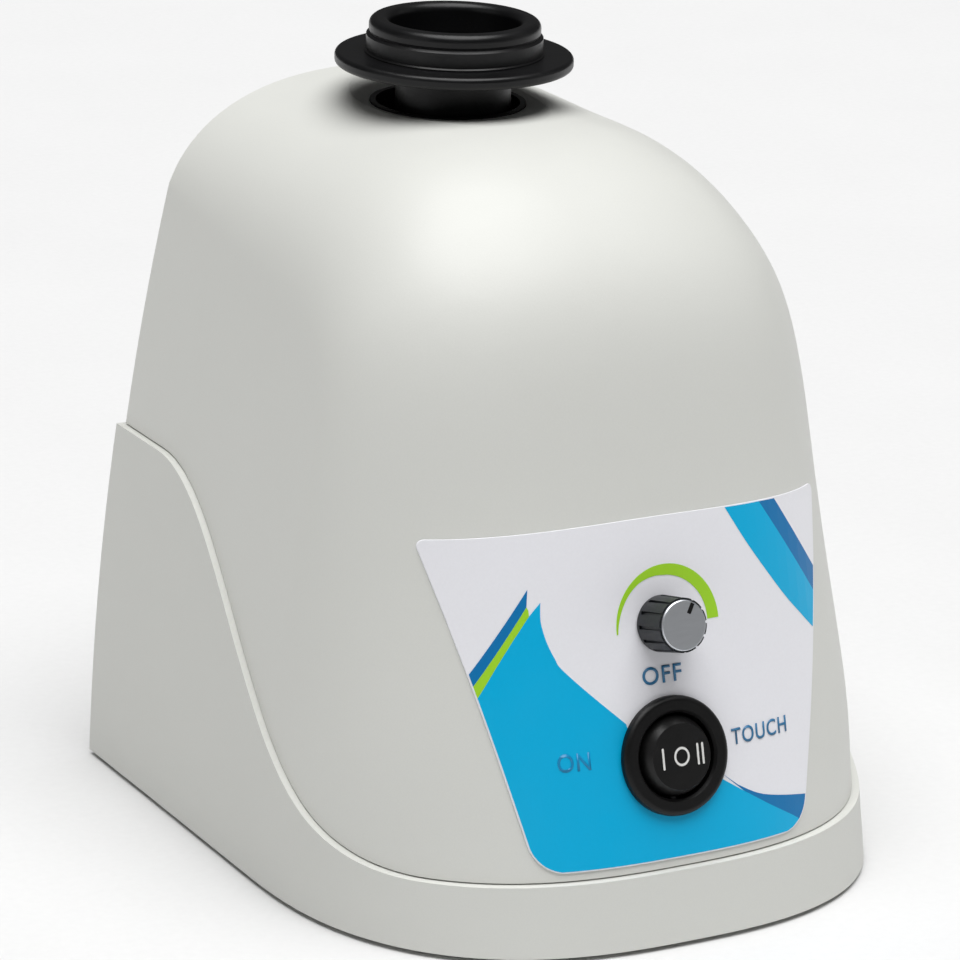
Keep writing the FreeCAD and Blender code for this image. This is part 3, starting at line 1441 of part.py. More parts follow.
# ---------------------------------------------------------------------------
# Press switch under the carriage, and the cable gland
# ---------------------------------------------------------------------------
def build_press_switch():
    """Small snap switch that the carriage plate presses when the cup is pushed down."""
    plunger_rest = CARRIAGE_LOW - S.plunger_gap
    body_top = CARRIAGE_LOW - S.press_travel - S.press_clearance
    body_low = body_top - S.press_switch_height
    half_x = S.press_switch_length / 2.0
    half_y = S.press_switch_width / 2.0
    body = new_body("press_switch")
    block = new_sketch(body, "XY_Plane")
    closed_outline(block, ((-half_x, -half_y), (half_x, -half_y), (half_x, half_y), (-half_x, half_y)))
    pad(body, block, S.press_switch_height)
    well_depth = S.press_travel * 2.0 + S.press_clearance
    well = new_sketch(body, "XY_Plane", S.press_switch_height - well_depth)
    circle(well, 0.0, 0.0, S.plunger_radius + S.slide_gap)
    pocket(body, well, well_depth)
    place(body, (0.0, PRESS_SWITCH_Y, body_low))
    plunger = new_body("press_plunger")
    ring = new_sketch(plunger, "XY_Plane")
    circle(ring, 0.0, 0.0, S.plunger_radius)
    plunger_low = body_top - S.press_travel
    pad(plunger, ring, plunger_rest - plunger_low)
    place(plunger, (0.0, PRESS_SWITCH_Y, plunger_low))
    wall = S.bracket_wall
    bracket = new_body("press_bracket")
    side = new_sketch(bracket, "YZ_Plane", -half_x)
    rise = body_low - BALLAST_TOP
    back = -half_y - S.bracket_setback
    closed_outline(side, (
        (back - S.bracket_toe, 0.0),
        (half_y, 0.0),
        (half_y, wall),
        (back + wall, wall),
        (back + wall, rise - wall),
        (half_y, rise - wall),
        (half_y, rise),
        (back, rise),
        (back, wall),
        (back - S.bracket_toe, wall),
    ))
    pad(bracket, side, S.press_switch_length)
    place(bracket, (0.0, PRESS_SWITCH_Y, BALLAST_TOP))


def build_cable_gland():
    """Grommet with a flange outside the rear wall and a collar behind both walls."""
    gland = new_body("cable_gland")
    wall = S.lip + S.upper_wall
    outer = S.gland_hole - S.gland_gap
    revolve(gland, (
        (S.gland_bore, -wall - S.gland_tail),
        (outer, -wall - S.gland_tail),
        (outer, S.gland_gap),
        (S.gland_flange, S.gland_gap),
        (S.gland_flange, S.gland_flange_thickness * 0.6),
        (S.gland_flange - S.gland_flange_edge, S.gland_flange_thickness + S.gland_gap),
        (S.gland_bore, S.gland_flange_thickness + S.gland_gap),
    ))
    face = S.rear_y + S.lip - S.rear_draft * (S.gland_up - S.gland_flange)
    place(gland, (S.gland_x, face, RIM + S.gland_up), Rotation(Vector(1, 0, 0), -90.0))
    nut = new_body("gland_nut")
    flats = new_sketch(nut, "XY_Plane")
    across = S.gland_flange
    points = []
    for index in range(6):
        angle = math.radians(60.0 * index)
        points.append((across * round(math.cos(angle), 6), across * round(math.sin(angle), 6)))
    closed_outline(flats, points)
    circle(flats, 0.0, 0.0, S.gland_hole - S.gland_gap + S.thread_gap)
    pad(nut, flats, S.gland_nut_height)
    inner_face = S.rear_y - S.upper_wall - S.rear_draft * (S.gland_up + S.gland_flange) - S.gland_gap
    place(nut, (S.gland_x, inner_face, RIM + S.gland_up), Rotation(Vector(1, 0, 0), 90.0))


build_board()
build_press_switch()
build_cable_gland()

# ---------------------------------------------------------------------------
# Check and export
# ---------------------------------------------------------------------------
doc.recompute()
faults = []
for thing in doc.Objects:
    if "Invalid" in thing.State or "Error" in thing.State:
        faults.append("%s is %s" % (thing.Label, thing.State))
for node in nodes:
    if node.Shape.isNull() or not node.Shape.isValid() or not node.Shape.Solids:
        faults.append("%s has no valid shape" % node.Label)
if faults:
    raise RuntimeError("; ".join(faults))
os.makedirs("parts", exist_ok=True)
for node in nodes:
    node.Shape.exportStep("parts/%s.step" % node.Label)
print("%d sub-parts written" % len(nodes))
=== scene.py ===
"""Looks of the vortex mixer: finishes, printed label artwork, inlays, stage, lights and camera."""

import logging
import math
from dataclasses import dataclass
from enum import Enum
from typing import Sequence

import bpy
from mathutils import Euler, Matrix, Vector


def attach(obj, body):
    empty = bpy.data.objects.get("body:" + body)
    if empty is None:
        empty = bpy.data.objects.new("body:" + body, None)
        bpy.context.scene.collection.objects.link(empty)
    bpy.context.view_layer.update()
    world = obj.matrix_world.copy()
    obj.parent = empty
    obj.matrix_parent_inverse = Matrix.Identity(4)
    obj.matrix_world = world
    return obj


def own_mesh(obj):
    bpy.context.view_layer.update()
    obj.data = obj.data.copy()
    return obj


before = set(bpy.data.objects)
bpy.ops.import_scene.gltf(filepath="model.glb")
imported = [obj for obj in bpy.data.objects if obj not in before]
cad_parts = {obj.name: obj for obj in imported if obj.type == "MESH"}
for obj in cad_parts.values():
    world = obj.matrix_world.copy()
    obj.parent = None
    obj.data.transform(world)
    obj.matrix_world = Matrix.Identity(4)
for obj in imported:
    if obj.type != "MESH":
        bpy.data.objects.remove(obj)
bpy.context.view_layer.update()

LOG = logging.getLogger("vortex_mixer")
SPRING_COUNT = 4
COAT_ROUGHNESS = 0.12
DUST_COLOUR = (0.45, 0.44, 0.42)
Colour = tuple[float, float, float]
Point = tuple[float, float]


class Tint(Enum):
    """Linear colours of the mixer's plastics, inks, rubbers and metals."""

    HOUSING = (0.69, 0.695, 0.66)
    BASE = (0.67, 0.675, 0.64)
    FILM = (0.86, 0.86, 0.90)
    CYAN = (0.0, 0.43, 0.75)
    DEEP_BLUE = (0.004, 0.175, 0.44)
    LIME = (0.36, 0.68, 0.03)
    WORD_BLUE = (0.03, 0.17, 0.34)
    WORD_ON_CYAN = (0.0, 0.24, 0.5)
    LEGEND_WHITE = (0.75, 0.75, 0.73)
    RUBBER = (0.0045, 0.0045, 0.005)
    BLACK_NYLON = (0.0035, 0.0034, 0.0035)
    KNOB_BLACK = (0.012, 0.014, 0.017)
    SILVER = (0.60, 0.62, 0.65)
    STEEL = (0.56, 0.57, 0.58)
    DARK_STEEL = (0.30, 0.31, 0.33)
    ZINC = (0.62, 0.61, 0.56)
    COPPER = (0.62, 0.26, 0.12)
    BRASS = (0.66, 0.47, 0.18)
    IRON = (0.035, 0.036, 0.04)
    BOARD_GREEN = (0.012, 0.12, 0.045)
    BLOCK_GREEN = (0.03, 0.2, 0.07)
    SLEEVE_BLUE = (0.012, 0.02, 0.08)
    SIGNAL_RED = (0.38, 0.02, 0.015)


# ---------------------------------------------------------------------------
# Shared shader effects
# ---------------------------------------------------------------------------
class Effects:
    """Shader node groups that several finishes share, each built once."""

    _built: dict[str, bpy.types.ShaderNodeTree] = {}

    @classmethod
    def get(cls, name: str) -> bpy.types.ShaderNodeTree:
        """Return a group, building it on first use.

        Args:
            name: one of the builder methods below.

        Returns:
            The shader node group.
        """
        if name not in cls._built:
            cls._built[name] = getattr(cls, name)()
        return cls._built[name]

    @staticmethod
    def _start(
        name: str, inputs: Sequence[tuple[str, float]], outputs: Sequence[tuple[str, str]]
    ) -> tuple[bpy.types.ShaderNodeTree, bpy.types.Node, bpy.types.Node]:
        """Make an empty group with its sockets.

        Args:
            name: group name.
            inputs: value inputs and their defaults.
            outputs: output names and socket types.

        Returns:
            The tree, its input node and its output node.
        """
        tree = bpy.data.node_groups.new(name, "ShaderNodeTree")
        for label, default in inputs:
            socket = tree.interface.new_socket(label, in_out="INPUT", socket_type="NodeSocketFloat")
            socket.default_value = default
        for label, kind in outputs:
            tree.interface.new_socket(label, in_out="OUTPUT", socket_type=kind)
        return tree, tree.nodes.new("NodeGroupInput"), tree.nodes.new("NodeGroupOutput")

    @classmethod
    def moulding(cls) -> bpy.types.ShaderNodeTree:
        """Fine spark-eroded texture of moulded plastic with slow tone drift.

        Returns:
            A group with Tone, Gloss and Height outputs, each around 0.5 or 1.
        """
        tree, source, sink = cls._start(
            "moulding",
            (("Grain Size", 2600.0), ("Drift Size", 14.0), ("Drift", 0.04)),
            (("Tone", "NodeSocketFloat"), ("Gloss", "NodeSocketFloat"), ("Height", "NodeSocketFloat")),
        )
        place = tree.nodes.new("ShaderNodeTexCoord").outputs["Object"]
        grain = noise(tree, place, source.outputs["Grain Size"], detail=3.0, roughness=0.6)
        drift = noise(tree, place, source.outputs["Drift Size"], detail=2.0, roughness=0.5)
        patch = noise(tree, place, 90.0, detail=4.0, roughness=0.65)
        swing = math_node(tree, "SUBTRACT", drift, 0.5)
        swing = math_node(tree, "MULTIPLY", swing, source.outputs["Drift"])
        fleck = math_node(tree, "SUBTRACT", grain, 0.5)
        fleck = math_node(tree, "MULTIPLY", fleck, 0.06)
        tone = math_node(tree, "ADD", math_node(tree, "ADD", swing, 1.0), fleck)
        tree.links.new(tone, sink.inputs["Tone"])
        tree.links.new(patch, sink.inputs["Gloss"])
        tree.links.new(grain, sink.inputs["Height"])
        return tree

    @classmethod
    def handling(cls) -> bpy.types.ShaderNodeTree:
        """Faint scuffs and dust that gather in use.

        Returns:
            A group with a Scuff mask and a Dust mask from 0 to 1.
        """
        tree, source, sink = cls._start(
            "handling",
            (("Scuff Size", 60.0), ("Dust Size", 420.0), ("Amount", 0.5)),
            (("Scuff", "NodeSocketFloat"), ("Dust", "NodeSocketFloat")),
        )
        place = tree.nodes.new("ShaderNodeTexCoord").outputs["Object"]
        stretch = tree.nodes.new("ShaderNodeMapping")
        stretch.inputs["Scale"].default_value = (1.0, 1.0, 7.0)
        stretch.inputs["Rotation"].default_value = (0.3, 0.5, 0.9)
        tree.links.new(place, stretch.inputs["Vector"])
        marks = noise(tree, stretch.outputs["Vector"], source.outputs["Scuff Size"], 5.0, 0.7)
        specks = noise(tree, place, source.outputs["Dust Size"], 2.0, 0.8)
        for value, low, high, name in ((marks, 0.58, 0.8, "Scuff"), (specks, 0.62, 0.78, "Dust")):
            step = map_range(tree, value, low, high, 0.0, 1.0)
            scaled = math_node(tree, "MULTIPLY", step, source.outputs["Amount"])
            tree.links.new(scaled, sink.inputs[name])
        return tree

    @classmethod
    def brushing(cls) -> bpy.types.ShaderNodeTree:
        """Fine turned or brushed lines in metal.

        Returns:
            A group with Tone and Height outputs.
        """
        tree, source, sink = cls._start(
            "brushing",
            (("Line Size", 900.0), ("Contrast", 0.12)),
            (("Tone", "NodeSocketFloat"), ("Height", "NodeSocketFloat")),
        )
        place = tree.nodes.new("ShaderNodeTexCoord").outputs["Object"]
        stretch = tree.nodes.new("ShaderNodeMapping")
        stretch.inputs["Scale"].default_value = (0.12, 0.12, 1.0)
        tree.links.new(place, stretch.inputs["Vector"])
        lines = noise(tree, stretch.outputs["Vector"], source.outputs["Line Size"], 3.0, 0.6)
        swing = math_node(tree, "SUBTRACT", lines, 0.5)
        swing = math_node(tree, "MULTIPLY", swing, source.outputs["Contrast"])
        tree.links.new(math_node(tree, "ADD", swing, 1.0), sink.inputs["Tone"])
        tree.links.new(lines, sink.inputs["Height"])
        return tree


def noise(
    tree: bpy.types.NodeTree, place: bpy.types.NodeSocket, scale: object, detail: float, roughness: float
) -> bpy.types.NodeSocket:
    """Add a noise texture.

    Args:
        tree: node tree to add to.
        place: coordinate socket.
        scale: a number or a socket.
        detail: octaves.
        roughness: octave roughness.

    Returns:
        The noise factor socket.
    """
    node = tree.nodes.new("ShaderNodeTexNoise")
    node.inputs["Detail"].default_value = detail
    node.inputs["Roughness"].default_value = roughness
    tree.links.new(place, node.inputs["Vector"])
    feed(tree, scale, node.inputs["Scale"])
    return node.outputs["Fac"]


def feed(tree: bpy.types.NodeTree, value: object, socket: bpy.types.NodeSocket) -> None:
    """Link a socket or set a number."""
    if isinstance(value, bpy.types.NodeSocket):
        tree.links.new(value, socket)
    else:
        socket.default_value = value


def math_node(
    tree: bpy.types.NodeTree, kind: str, left: object, right: object
) -> bpy.types.NodeSocket:
    """Add a Math node.

    Args:
        tree: node tree to add to.
        kind: operation name.
        left: first number or socket.
        right: second number or socket.

    Returns:
        The result socket.
    """
    node = tree.nodes.new("ShaderNodeMath")
    node.operation = kind
    feed(tree, left, node.inputs[0])
    feed(tree, right, node.inputs[1])
    return node.outputs[0]


def map_range(
    tree: bpy.types.NodeTree, value: bpy.types.NodeSocket,
    low: float, high: float, to_low: float, to_high: float,
) -> bpy.types.NodeSocket:
    """Add a clamped Map Range node and return its result."""
    node = tree.nodes.new("ShaderNodeMapRange")
    node.inputs["From Min"].default_value = low
    node.inputs["From Max"].default_value = high
    node.inputs["To Min"].default_value = to_low
    node.inputs["To Max"].default_value = to_high
    tree.links.new(value, node.inputs["Value"])
    return node.outputs["Result"]


# ---------------------------------------------------------------------------
# Finishes
# ---------------------------------------------------------------------------
@dataclass(frozen=True)
class Finish:
    """A moulded, printed or rubber finish.

    Sizes of pattern are repeats per metre, depths are in metres.
    """

    name: str
    tint: Tint
    roughness: float
    gloss_swing: float = 0.08
    grain_size: float = 2600.0
    grain_depth: float = 0.00002
    drift: float = 0.04
    scuff: float = 0.3
    dust: float = 0.0
    coat: float = 0.0
    specular: float = 0.5

    def build(self) -> bpy.types.Material:
        """Make the material.

        Returns:
            The node-based material.
        """
        material = bpy.data.materials.new(self.name)
        material.use_nodes = True
        tree = material.node_tree
        shader = tree.nodes["Principled BSDF"]
        shader.inputs["Specular IOR Level"].default_value = self.specular
        shader.inputs["Coat Weight"].default_value = self.coat
        shader.inputs["Coat Roughness"].default_value = COAT_ROUGHNESS
        mould = place_group(tree, "moulding")
        mould.inputs["Grain Size"].default_value = self.grain_size
        mould.inputs["Drift"].default_value = self.drift
        wear = place_group(tree, "handling")
        wear.inputs["Amount"].default_value = 1.0
        base = scaled_colour(tree, self.tint.value, mould.outputs["Tone"])
        dusty = math_node(tree, "MULTIPLY", wear.outputs["Dust"], self.dust)
        pale = mix_colour(tree, dusty, base, DUST_COLOUR)
        tree.links.new(pale, shader.inputs["Base Color"])
        swing = map_range(
            tree, mould.outputs["Gloss"], 0.3, 0.7,
            self.roughness - self.gloss_swing, self.roughness + self.gloss_swing,
        )
        worn = math_node(tree, "MULTIPLY", wear.outputs["Scuff"], self.scuff * 0.3)
        tree.links.new(math_node(tree, "ADD", swing, worn), shader.inputs["Roughness"])
        add_bump(tree, shader, mould.outputs["Height"], self.grain_depth)
        return material


@dataclass(frozen=True)
class MetalFinish:
    """A brushed, turned or plated metal."""

    name: str
    tint: Tint
    roughness: float
    line_size: float = 900.0
    line_depth: float = 0.000008
    contrast: float = 0.12

    def build(self) -> bpy.types.Material:
        """Make the material.

        Returns:
            The node-based material.
        """
        material = bpy.data.materials.new(self.name)
        material.use_nodes = True
        tree = material.node_tree
        shader = tree.nodes["Principled BSDF"]
        shader.inputs["Metallic"].default_value = 1.0
        lines = place_group(tree, "brushing")
        lines.inputs["Line Size"].default_value = self.line_size
        lines.inputs["Contrast"].default_value = self.contrast
        wear = place_group(tree, "handling")
        toned = scaled_colour(tree, self.tint.value, lines.outputs["Tone"])
        tree.links.new(toned, shader.inputs["Base Color"])
        scuffed = math_node(tree, "MULTIPLY", wear.outputs["Scuff"], 0.2)
        tree.links.new(math_node(tree, "ADD", scuffed, self.roughness), shader.inputs["Roughness"])
        add_bump(tree, shader, lines.outputs["Height"], self.line_depth)
        return material


def place_group(tree: bpy.types.NodeTree, name: str) -> bpy.types.Node:
    """Put a shared effect into a material."""
    node = tree.nodes.new("ShaderNodeGroup")
    node.node_tree = Effects.get(name)
    return node


def scaled_colour(
    tree: bpy.types.NodeTree, colour: Colour, tone: bpy.types.NodeSocket
) -> bpy.types.NodeSocket:
    """Multiply a colour by a tone and return the colour socket."""
    node = tree.nodes.new("ShaderNodeVectorMath")
    node.operation = "SCALE"
    node.inputs[0].default_value = colour
    tree.links.new(tone, node.inputs["Scale"])
    return node.outputs["Vector"]


def mix_colour(
    tree: bpy.types.NodeTree, share: bpy.types.NodeSocket, first: bpy.types.NodeSocket, second: Colour
) -> bpy.types.NodeSocket:
    """Mix a colour socket towards a plain colour and return the result."""
    node = tree.nodes.new("ShaderNodeMix")
    node.data_type = "RGBA"
    tree.links.new(share, node.inputs["Factor"])
    tree.links.new(first, node.inputs[6])
    node.inputs[7].default_value = (*second, 1.0)
    return node.outputs[2]


def add_bump(
    tree: bpy.types.NodeTree, shader: bpy.types.Node, height: bpy.types.NodeSocket, depth: float
) -> None:
    """Feed a height into the shader's normal."""
    bump = tree.nodes.new("ShaderNodeBump")
    bump.inputs["Distance"].default_value = depth
    bump.inputs["Strength"].default_value = 1.0
    tree.links.new(height, bump.inputs["Height"])
    tree.links.new(bump.outputs["Normal"], shader.inputs["Normal"])


class Finishes:
    """The mixer's materials, made on first use."""

    TABLE: tuple[object, ...] = (
        Finish("housing_abs", Tint.HOUSING, 0.46, 0.03, 3000.0, 0.000012, 0.03, 0.25, coat=0.03),
        Finish("base_abs", Tint.BASE, 0.48, 0.03, 3000.0, 0.000012, 0.03, 0.35, coat=0.02),
        Finish("label_film", Tint.FILM, 0.34, 0.04, 1800.0, 0.000008, 0.02, 0.2, coat=0.15),
        Finish("ink_cyan", Tint.CYAN, 0.34, 0.04, 1800.0, 0.000008, 0.04, 0.2, coat=0.04, specular=0.35),
        Finish(
            "ink_deep_blue", Tint.DEEP_BLUE, 0.34, 0.04, 1800.0, 0.000008, 0.04, 0.2,
            coat=0.04, specular=0.35,
        ),
        Finish("ink_lime", Tint.LIME, 0.34, 0.04, 1800.0, 0.000008, 0.04, 0.2, coat=0.04, specular=0.35),
        Finish("ink_words", Tint.WORD_BLUE, 0.36, 0.04, 1800.0, 0.000008, 0.04, 0.2),
        Finish("ink_words_cyan", Tint.WORD_ON_CYAN, 0.36, 0.04, 1800.0, 0.000008, 0.04, 0.2),
        Finish("legend_white", Tint.LEGEND_WHITE, 0.5, 0.05, 1800.0, 0.00001, 0.04, 0.2),
        Finish("cup_rubber", Tint.RUBBER, 0.34, 0.07, 1500.0, 0.00002, 0.1, 0.6, dust=0.006, specular=0.32),
        Finish("seal_rubber", Tint.RUBBER, 0.46, 0.08, 1500.0, 0.00003, 0.1, 0.6, dust=0.01, specular=0.3),
        Finish("foot_rubber", Tint.RUBBER, 0.62, 0.08, 1200.0, 0.00004, 0.15, 0.6, dust=0.06),
        Finish(
            "switch_nylon", Tint.BLACK_NYLON, 0.42, 0.05, 2200.0, 0.00002, 0.08, 0.5,
            dust=0.004, specular=0.28,
        ),
        Finish(
            "rocker_nylon", Tint.BLACK_NYLON, 0.38, 0.05, 2200.0, 0.000015, 0.08, 0.6,
            dust=0.006, specular=0.36,
        ),
        Finish(
            "knob_plastic", Tint.KNOB_BLACK, 0.42, 0.06, 2200.0, 0.00002, 0.1, 0.5,
            dust=0.006, specular=0.4,
        ),
        Finish("ballast_paint", Tint.IRON, 0.6, 0.1, 700.0, 0.0001, 0.2, 0.6),
        Finish("board_mask", Tint.BOARD_GREEN, 0.35, 0.05, 1200.0, 0.00001, 0.15, 0.2, coat=0.2),
        Finish("block_plastic", Tint.BLOCK_GREEN, 0.45, 0.05, 2200.0, 0.00002, 0.08, 0.3),
        Finish("sleeve_film", Tint.SLEEVE_BLUE, 0.3, 0.05, 900.0, 0.00001, 0.08, 0.3, coat=0.3),
        Finish("plunger_plastic", Tint.SIGNAL_RED, 0.35, 0.05, 2200.0, 0.00001, 0.06, 0.3),
        MetalFinish("knob_aluminium", Tint.SILVER, 0.42, 2200.0, 0.000006, 0.10),
        MetalFinish("ground_steel", Tint.STEEL, 0.22),
        MetalFinish("plated_steel", Tint.ZINC, 0.34, 700.0),
        MetalFinish("stacked_steel", Tint.DARK_STEEL, 0.45, 2500.0, 0.00004, 0.4),
        MetalFinish("polished_steel", Tint.STEEL, 0.12, 1500.0, 0.000002, 0.05),
        MetalFinish("turned_aluminium", Tint.STEEL, 0.3, 1600.0),
        MetalFinish("copper_wire", Tint.COPPER, 0.35, 2600.0, 0.00008, 0.5),
        MetalFinish("plain_brass", Tint.BRASS, 0.3),
    )
    _made: dict[str, bpy.types.Material] = {}

    @classmethod
    def get(cls, name: str) -> bpy.types.Material:
        """Return a finish by name, making its material on first use."""
        if name not in cls._made:
            recipe = next(item for item in cls.TABLE if item.name == name)
            cls._made[name] = recipe.build()
        return cls._made[name]


NODE_FINISHES: dict[str, str] = {
    "upper_housing": "housing_abs",
    "base_housing": "base_abs",
    "ballast_plate": "ballast_paint",
    "control_label": "label_film",
    "cup_head": "cup_rubber",
    "neck_seal": "seal_rubber",
    "head_holder": "switch_nylon",
    "eccentric_hub": "turned_aluminium",
    "motor_can": "plated_steel",
    "motor_cap": "plated_steel",
    "motor_stator": "stacked_steel",
    "rotor_core": "stacked_steel",
    "motor_windings": "copper_wire",
    "motor_shaft": "ground_steel",
    "motor_bearing_low": "polished_steel",
    "motor_bearing_high": "polished_steel",
    "head_bearing_inner": "polished_steel",
    "head_bearing_outer": "polished_steel",
    "head_bearing_balls": "polished_steel",
    "carriage_plate": "plated_steel",
    "control_board": "board_mask",
    "board_capacitors": "sleeve_film",
    "board_heatsink": "turned_aluminium",
    "board_triac": "switch_nylon",
    "board_screws": "plated_steel",
    "terminal_block": "block_plastic",
    "press_switch": "switch_nylon",
    "press_bracket": "plated_steel",
    "press_plunger": "plunger_plastic",
    "switch_housing": "switch_nylon",
    "rocker": "rocker_nylon",
    "rocker_pin": "ground_steel",
    "switch_terminals": "plain_brass",
    "speed_control": "plated_steel",
    "speed_shaft": "ground_steel",
    "knob_skirt": "knob_plastic",
    "knob_cap": "knob_aluminium",
    "cable_gland": "seal_rubber",
    "gland_nut": "switch_nylon",
}
NUMBERED_FINISHES: dict[str, str] = {
    "foot_screw_": "plated_steel",
    "housing_screw_": "plated_steel",
    "guide_post_": "ground_steel",
    "spring_": "ground_steel",
    "foot_": "foot_rubber",
}


def finish_of(node: str) -> str:
    """Return the finish name of a CAD node."""
    if node in NODE_FINISHES:
        return NODE_FINISHES[node]
    return next(name for start, name in NUMBERED_FINISHES.items() if node.startswith(start))


def dress_nodes(nodes: dict[str, bpy.types.Object]) -> None:
    """Give every CAD node its finish.

    Args:
        nodes: node objects by name.
    """
    for name, thing in nodes.items():
        material = Finishes.get(finish_of(name))
        for slot in thing.material_slots:
            slot.material = material
        LOG.info("dressed %s in %s", name, material.name)


def shorten_springs(nodes: dict[str, bpy.types.Object]) -> None:
    """Give each of the four springs its own copy of its mesh."""
    for index in range(1, SPRING_COUNT + 1):
        name = f"spring_{index}"
        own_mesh(nodes[name])


# ---------------------------------------------------------------------------
# Modelling helpers
# ---------------------------------------------------------------------------
def clear_selection() -> None:
    """Leave edit mode and select nothing."""
    if bpy.context.object is not None and bpy.context.object.mode != "OBJECT":
        bpy.ops.object.mode_set(mode="OBJECT")
    bpy.ops.object.select_all(action="DESELECT")


def only(thing: bpy.types.Object) -> bpy.types.Object:
    """Select one object, make it active and return it."""
    clear_selection()
    thing.select_set(True)
    bpy.context.view_layer.objects.active = thing
    return thing


def settle(thing: bpy.types.Object) -> bpy.types.Object:
    """Move an object's place, turn and size into its mesh.

    Args:
        thing: mesh object.

    Returns:
        The same object, at the origin.
    """
    only(thing)
    bpy.ops.object.transform_apply(location=True, rotation=True, scale=True)
    return thing


def apply_modifier(thing: bpy.types.Object, kind: str, **settings: object) -> None:
    """Add a modifier, set it up and apply it.

    Args:
        thing: mesh object.
        kind: modifier type.
        **settings: modifier properties.
    """
    only(thing)
    modifier = thing.modifiers.new(kind.lower(), kind)
    for key, value in settings.items():
        setattr(modifier, key, value)
    bpy.ops.object.modifier_apply(modifier=modifier.name)


def hand_over(thing: bpy.types.Object, name: str, finish: str, body: str) -> bpy.types.Object:
    """Name a finished piece, dress it and tie it to its body.

    Args:
        thing: finished mesh object.
        name: piece name.
        finish: finish from the table.
        body: body it moves with.

    Returns:
        The piece.
    """
    thing.name = name
    thing.data.name = name
    thing.data.materials.clear()
    thing.data.materials.append(Finishes.get(finish))
    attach(thing, body)
    LOG.info("made %s: %d faces, finish %s, rides on %s", name, len(thing.data.polygons), finish, body)
    return thing


@dataclass(frozen=True)
class Panel:
    """The sloping control panel's own frame.

    The panel leans back, and its height is measured up the slope's rise.
    """

    front: float = -0.0691
    lean: float = math.radians(15.1)
    lift: float = 0.001

    @property
    def normal(self) -> Vector:
        """Direction that the panel faces."""
        return Vector((0.0, -math.cos(self.lean), math.sin(self.lean)))

    @property
    def turn(self) -> Euler:
        """Turn that lays a flat drawing in XY onto the panel."""
        return Euler((math.radians(90.0) - self.lean, 0.0, 0.0))

    def spot(self, height: float, proud: float = 0.0) -> Vector:
        """Return a point on the centre line.

        Args:
            height: height above the base's rim, in metres.
            proud: distance in front of the panel, in metres.

        Returns:
            The point in the mixer's frame.
        """
        foot = Vector((0.0, self.front + height * math.tan(self.lean), height + self.lift))
        return foot + self.normal * proud


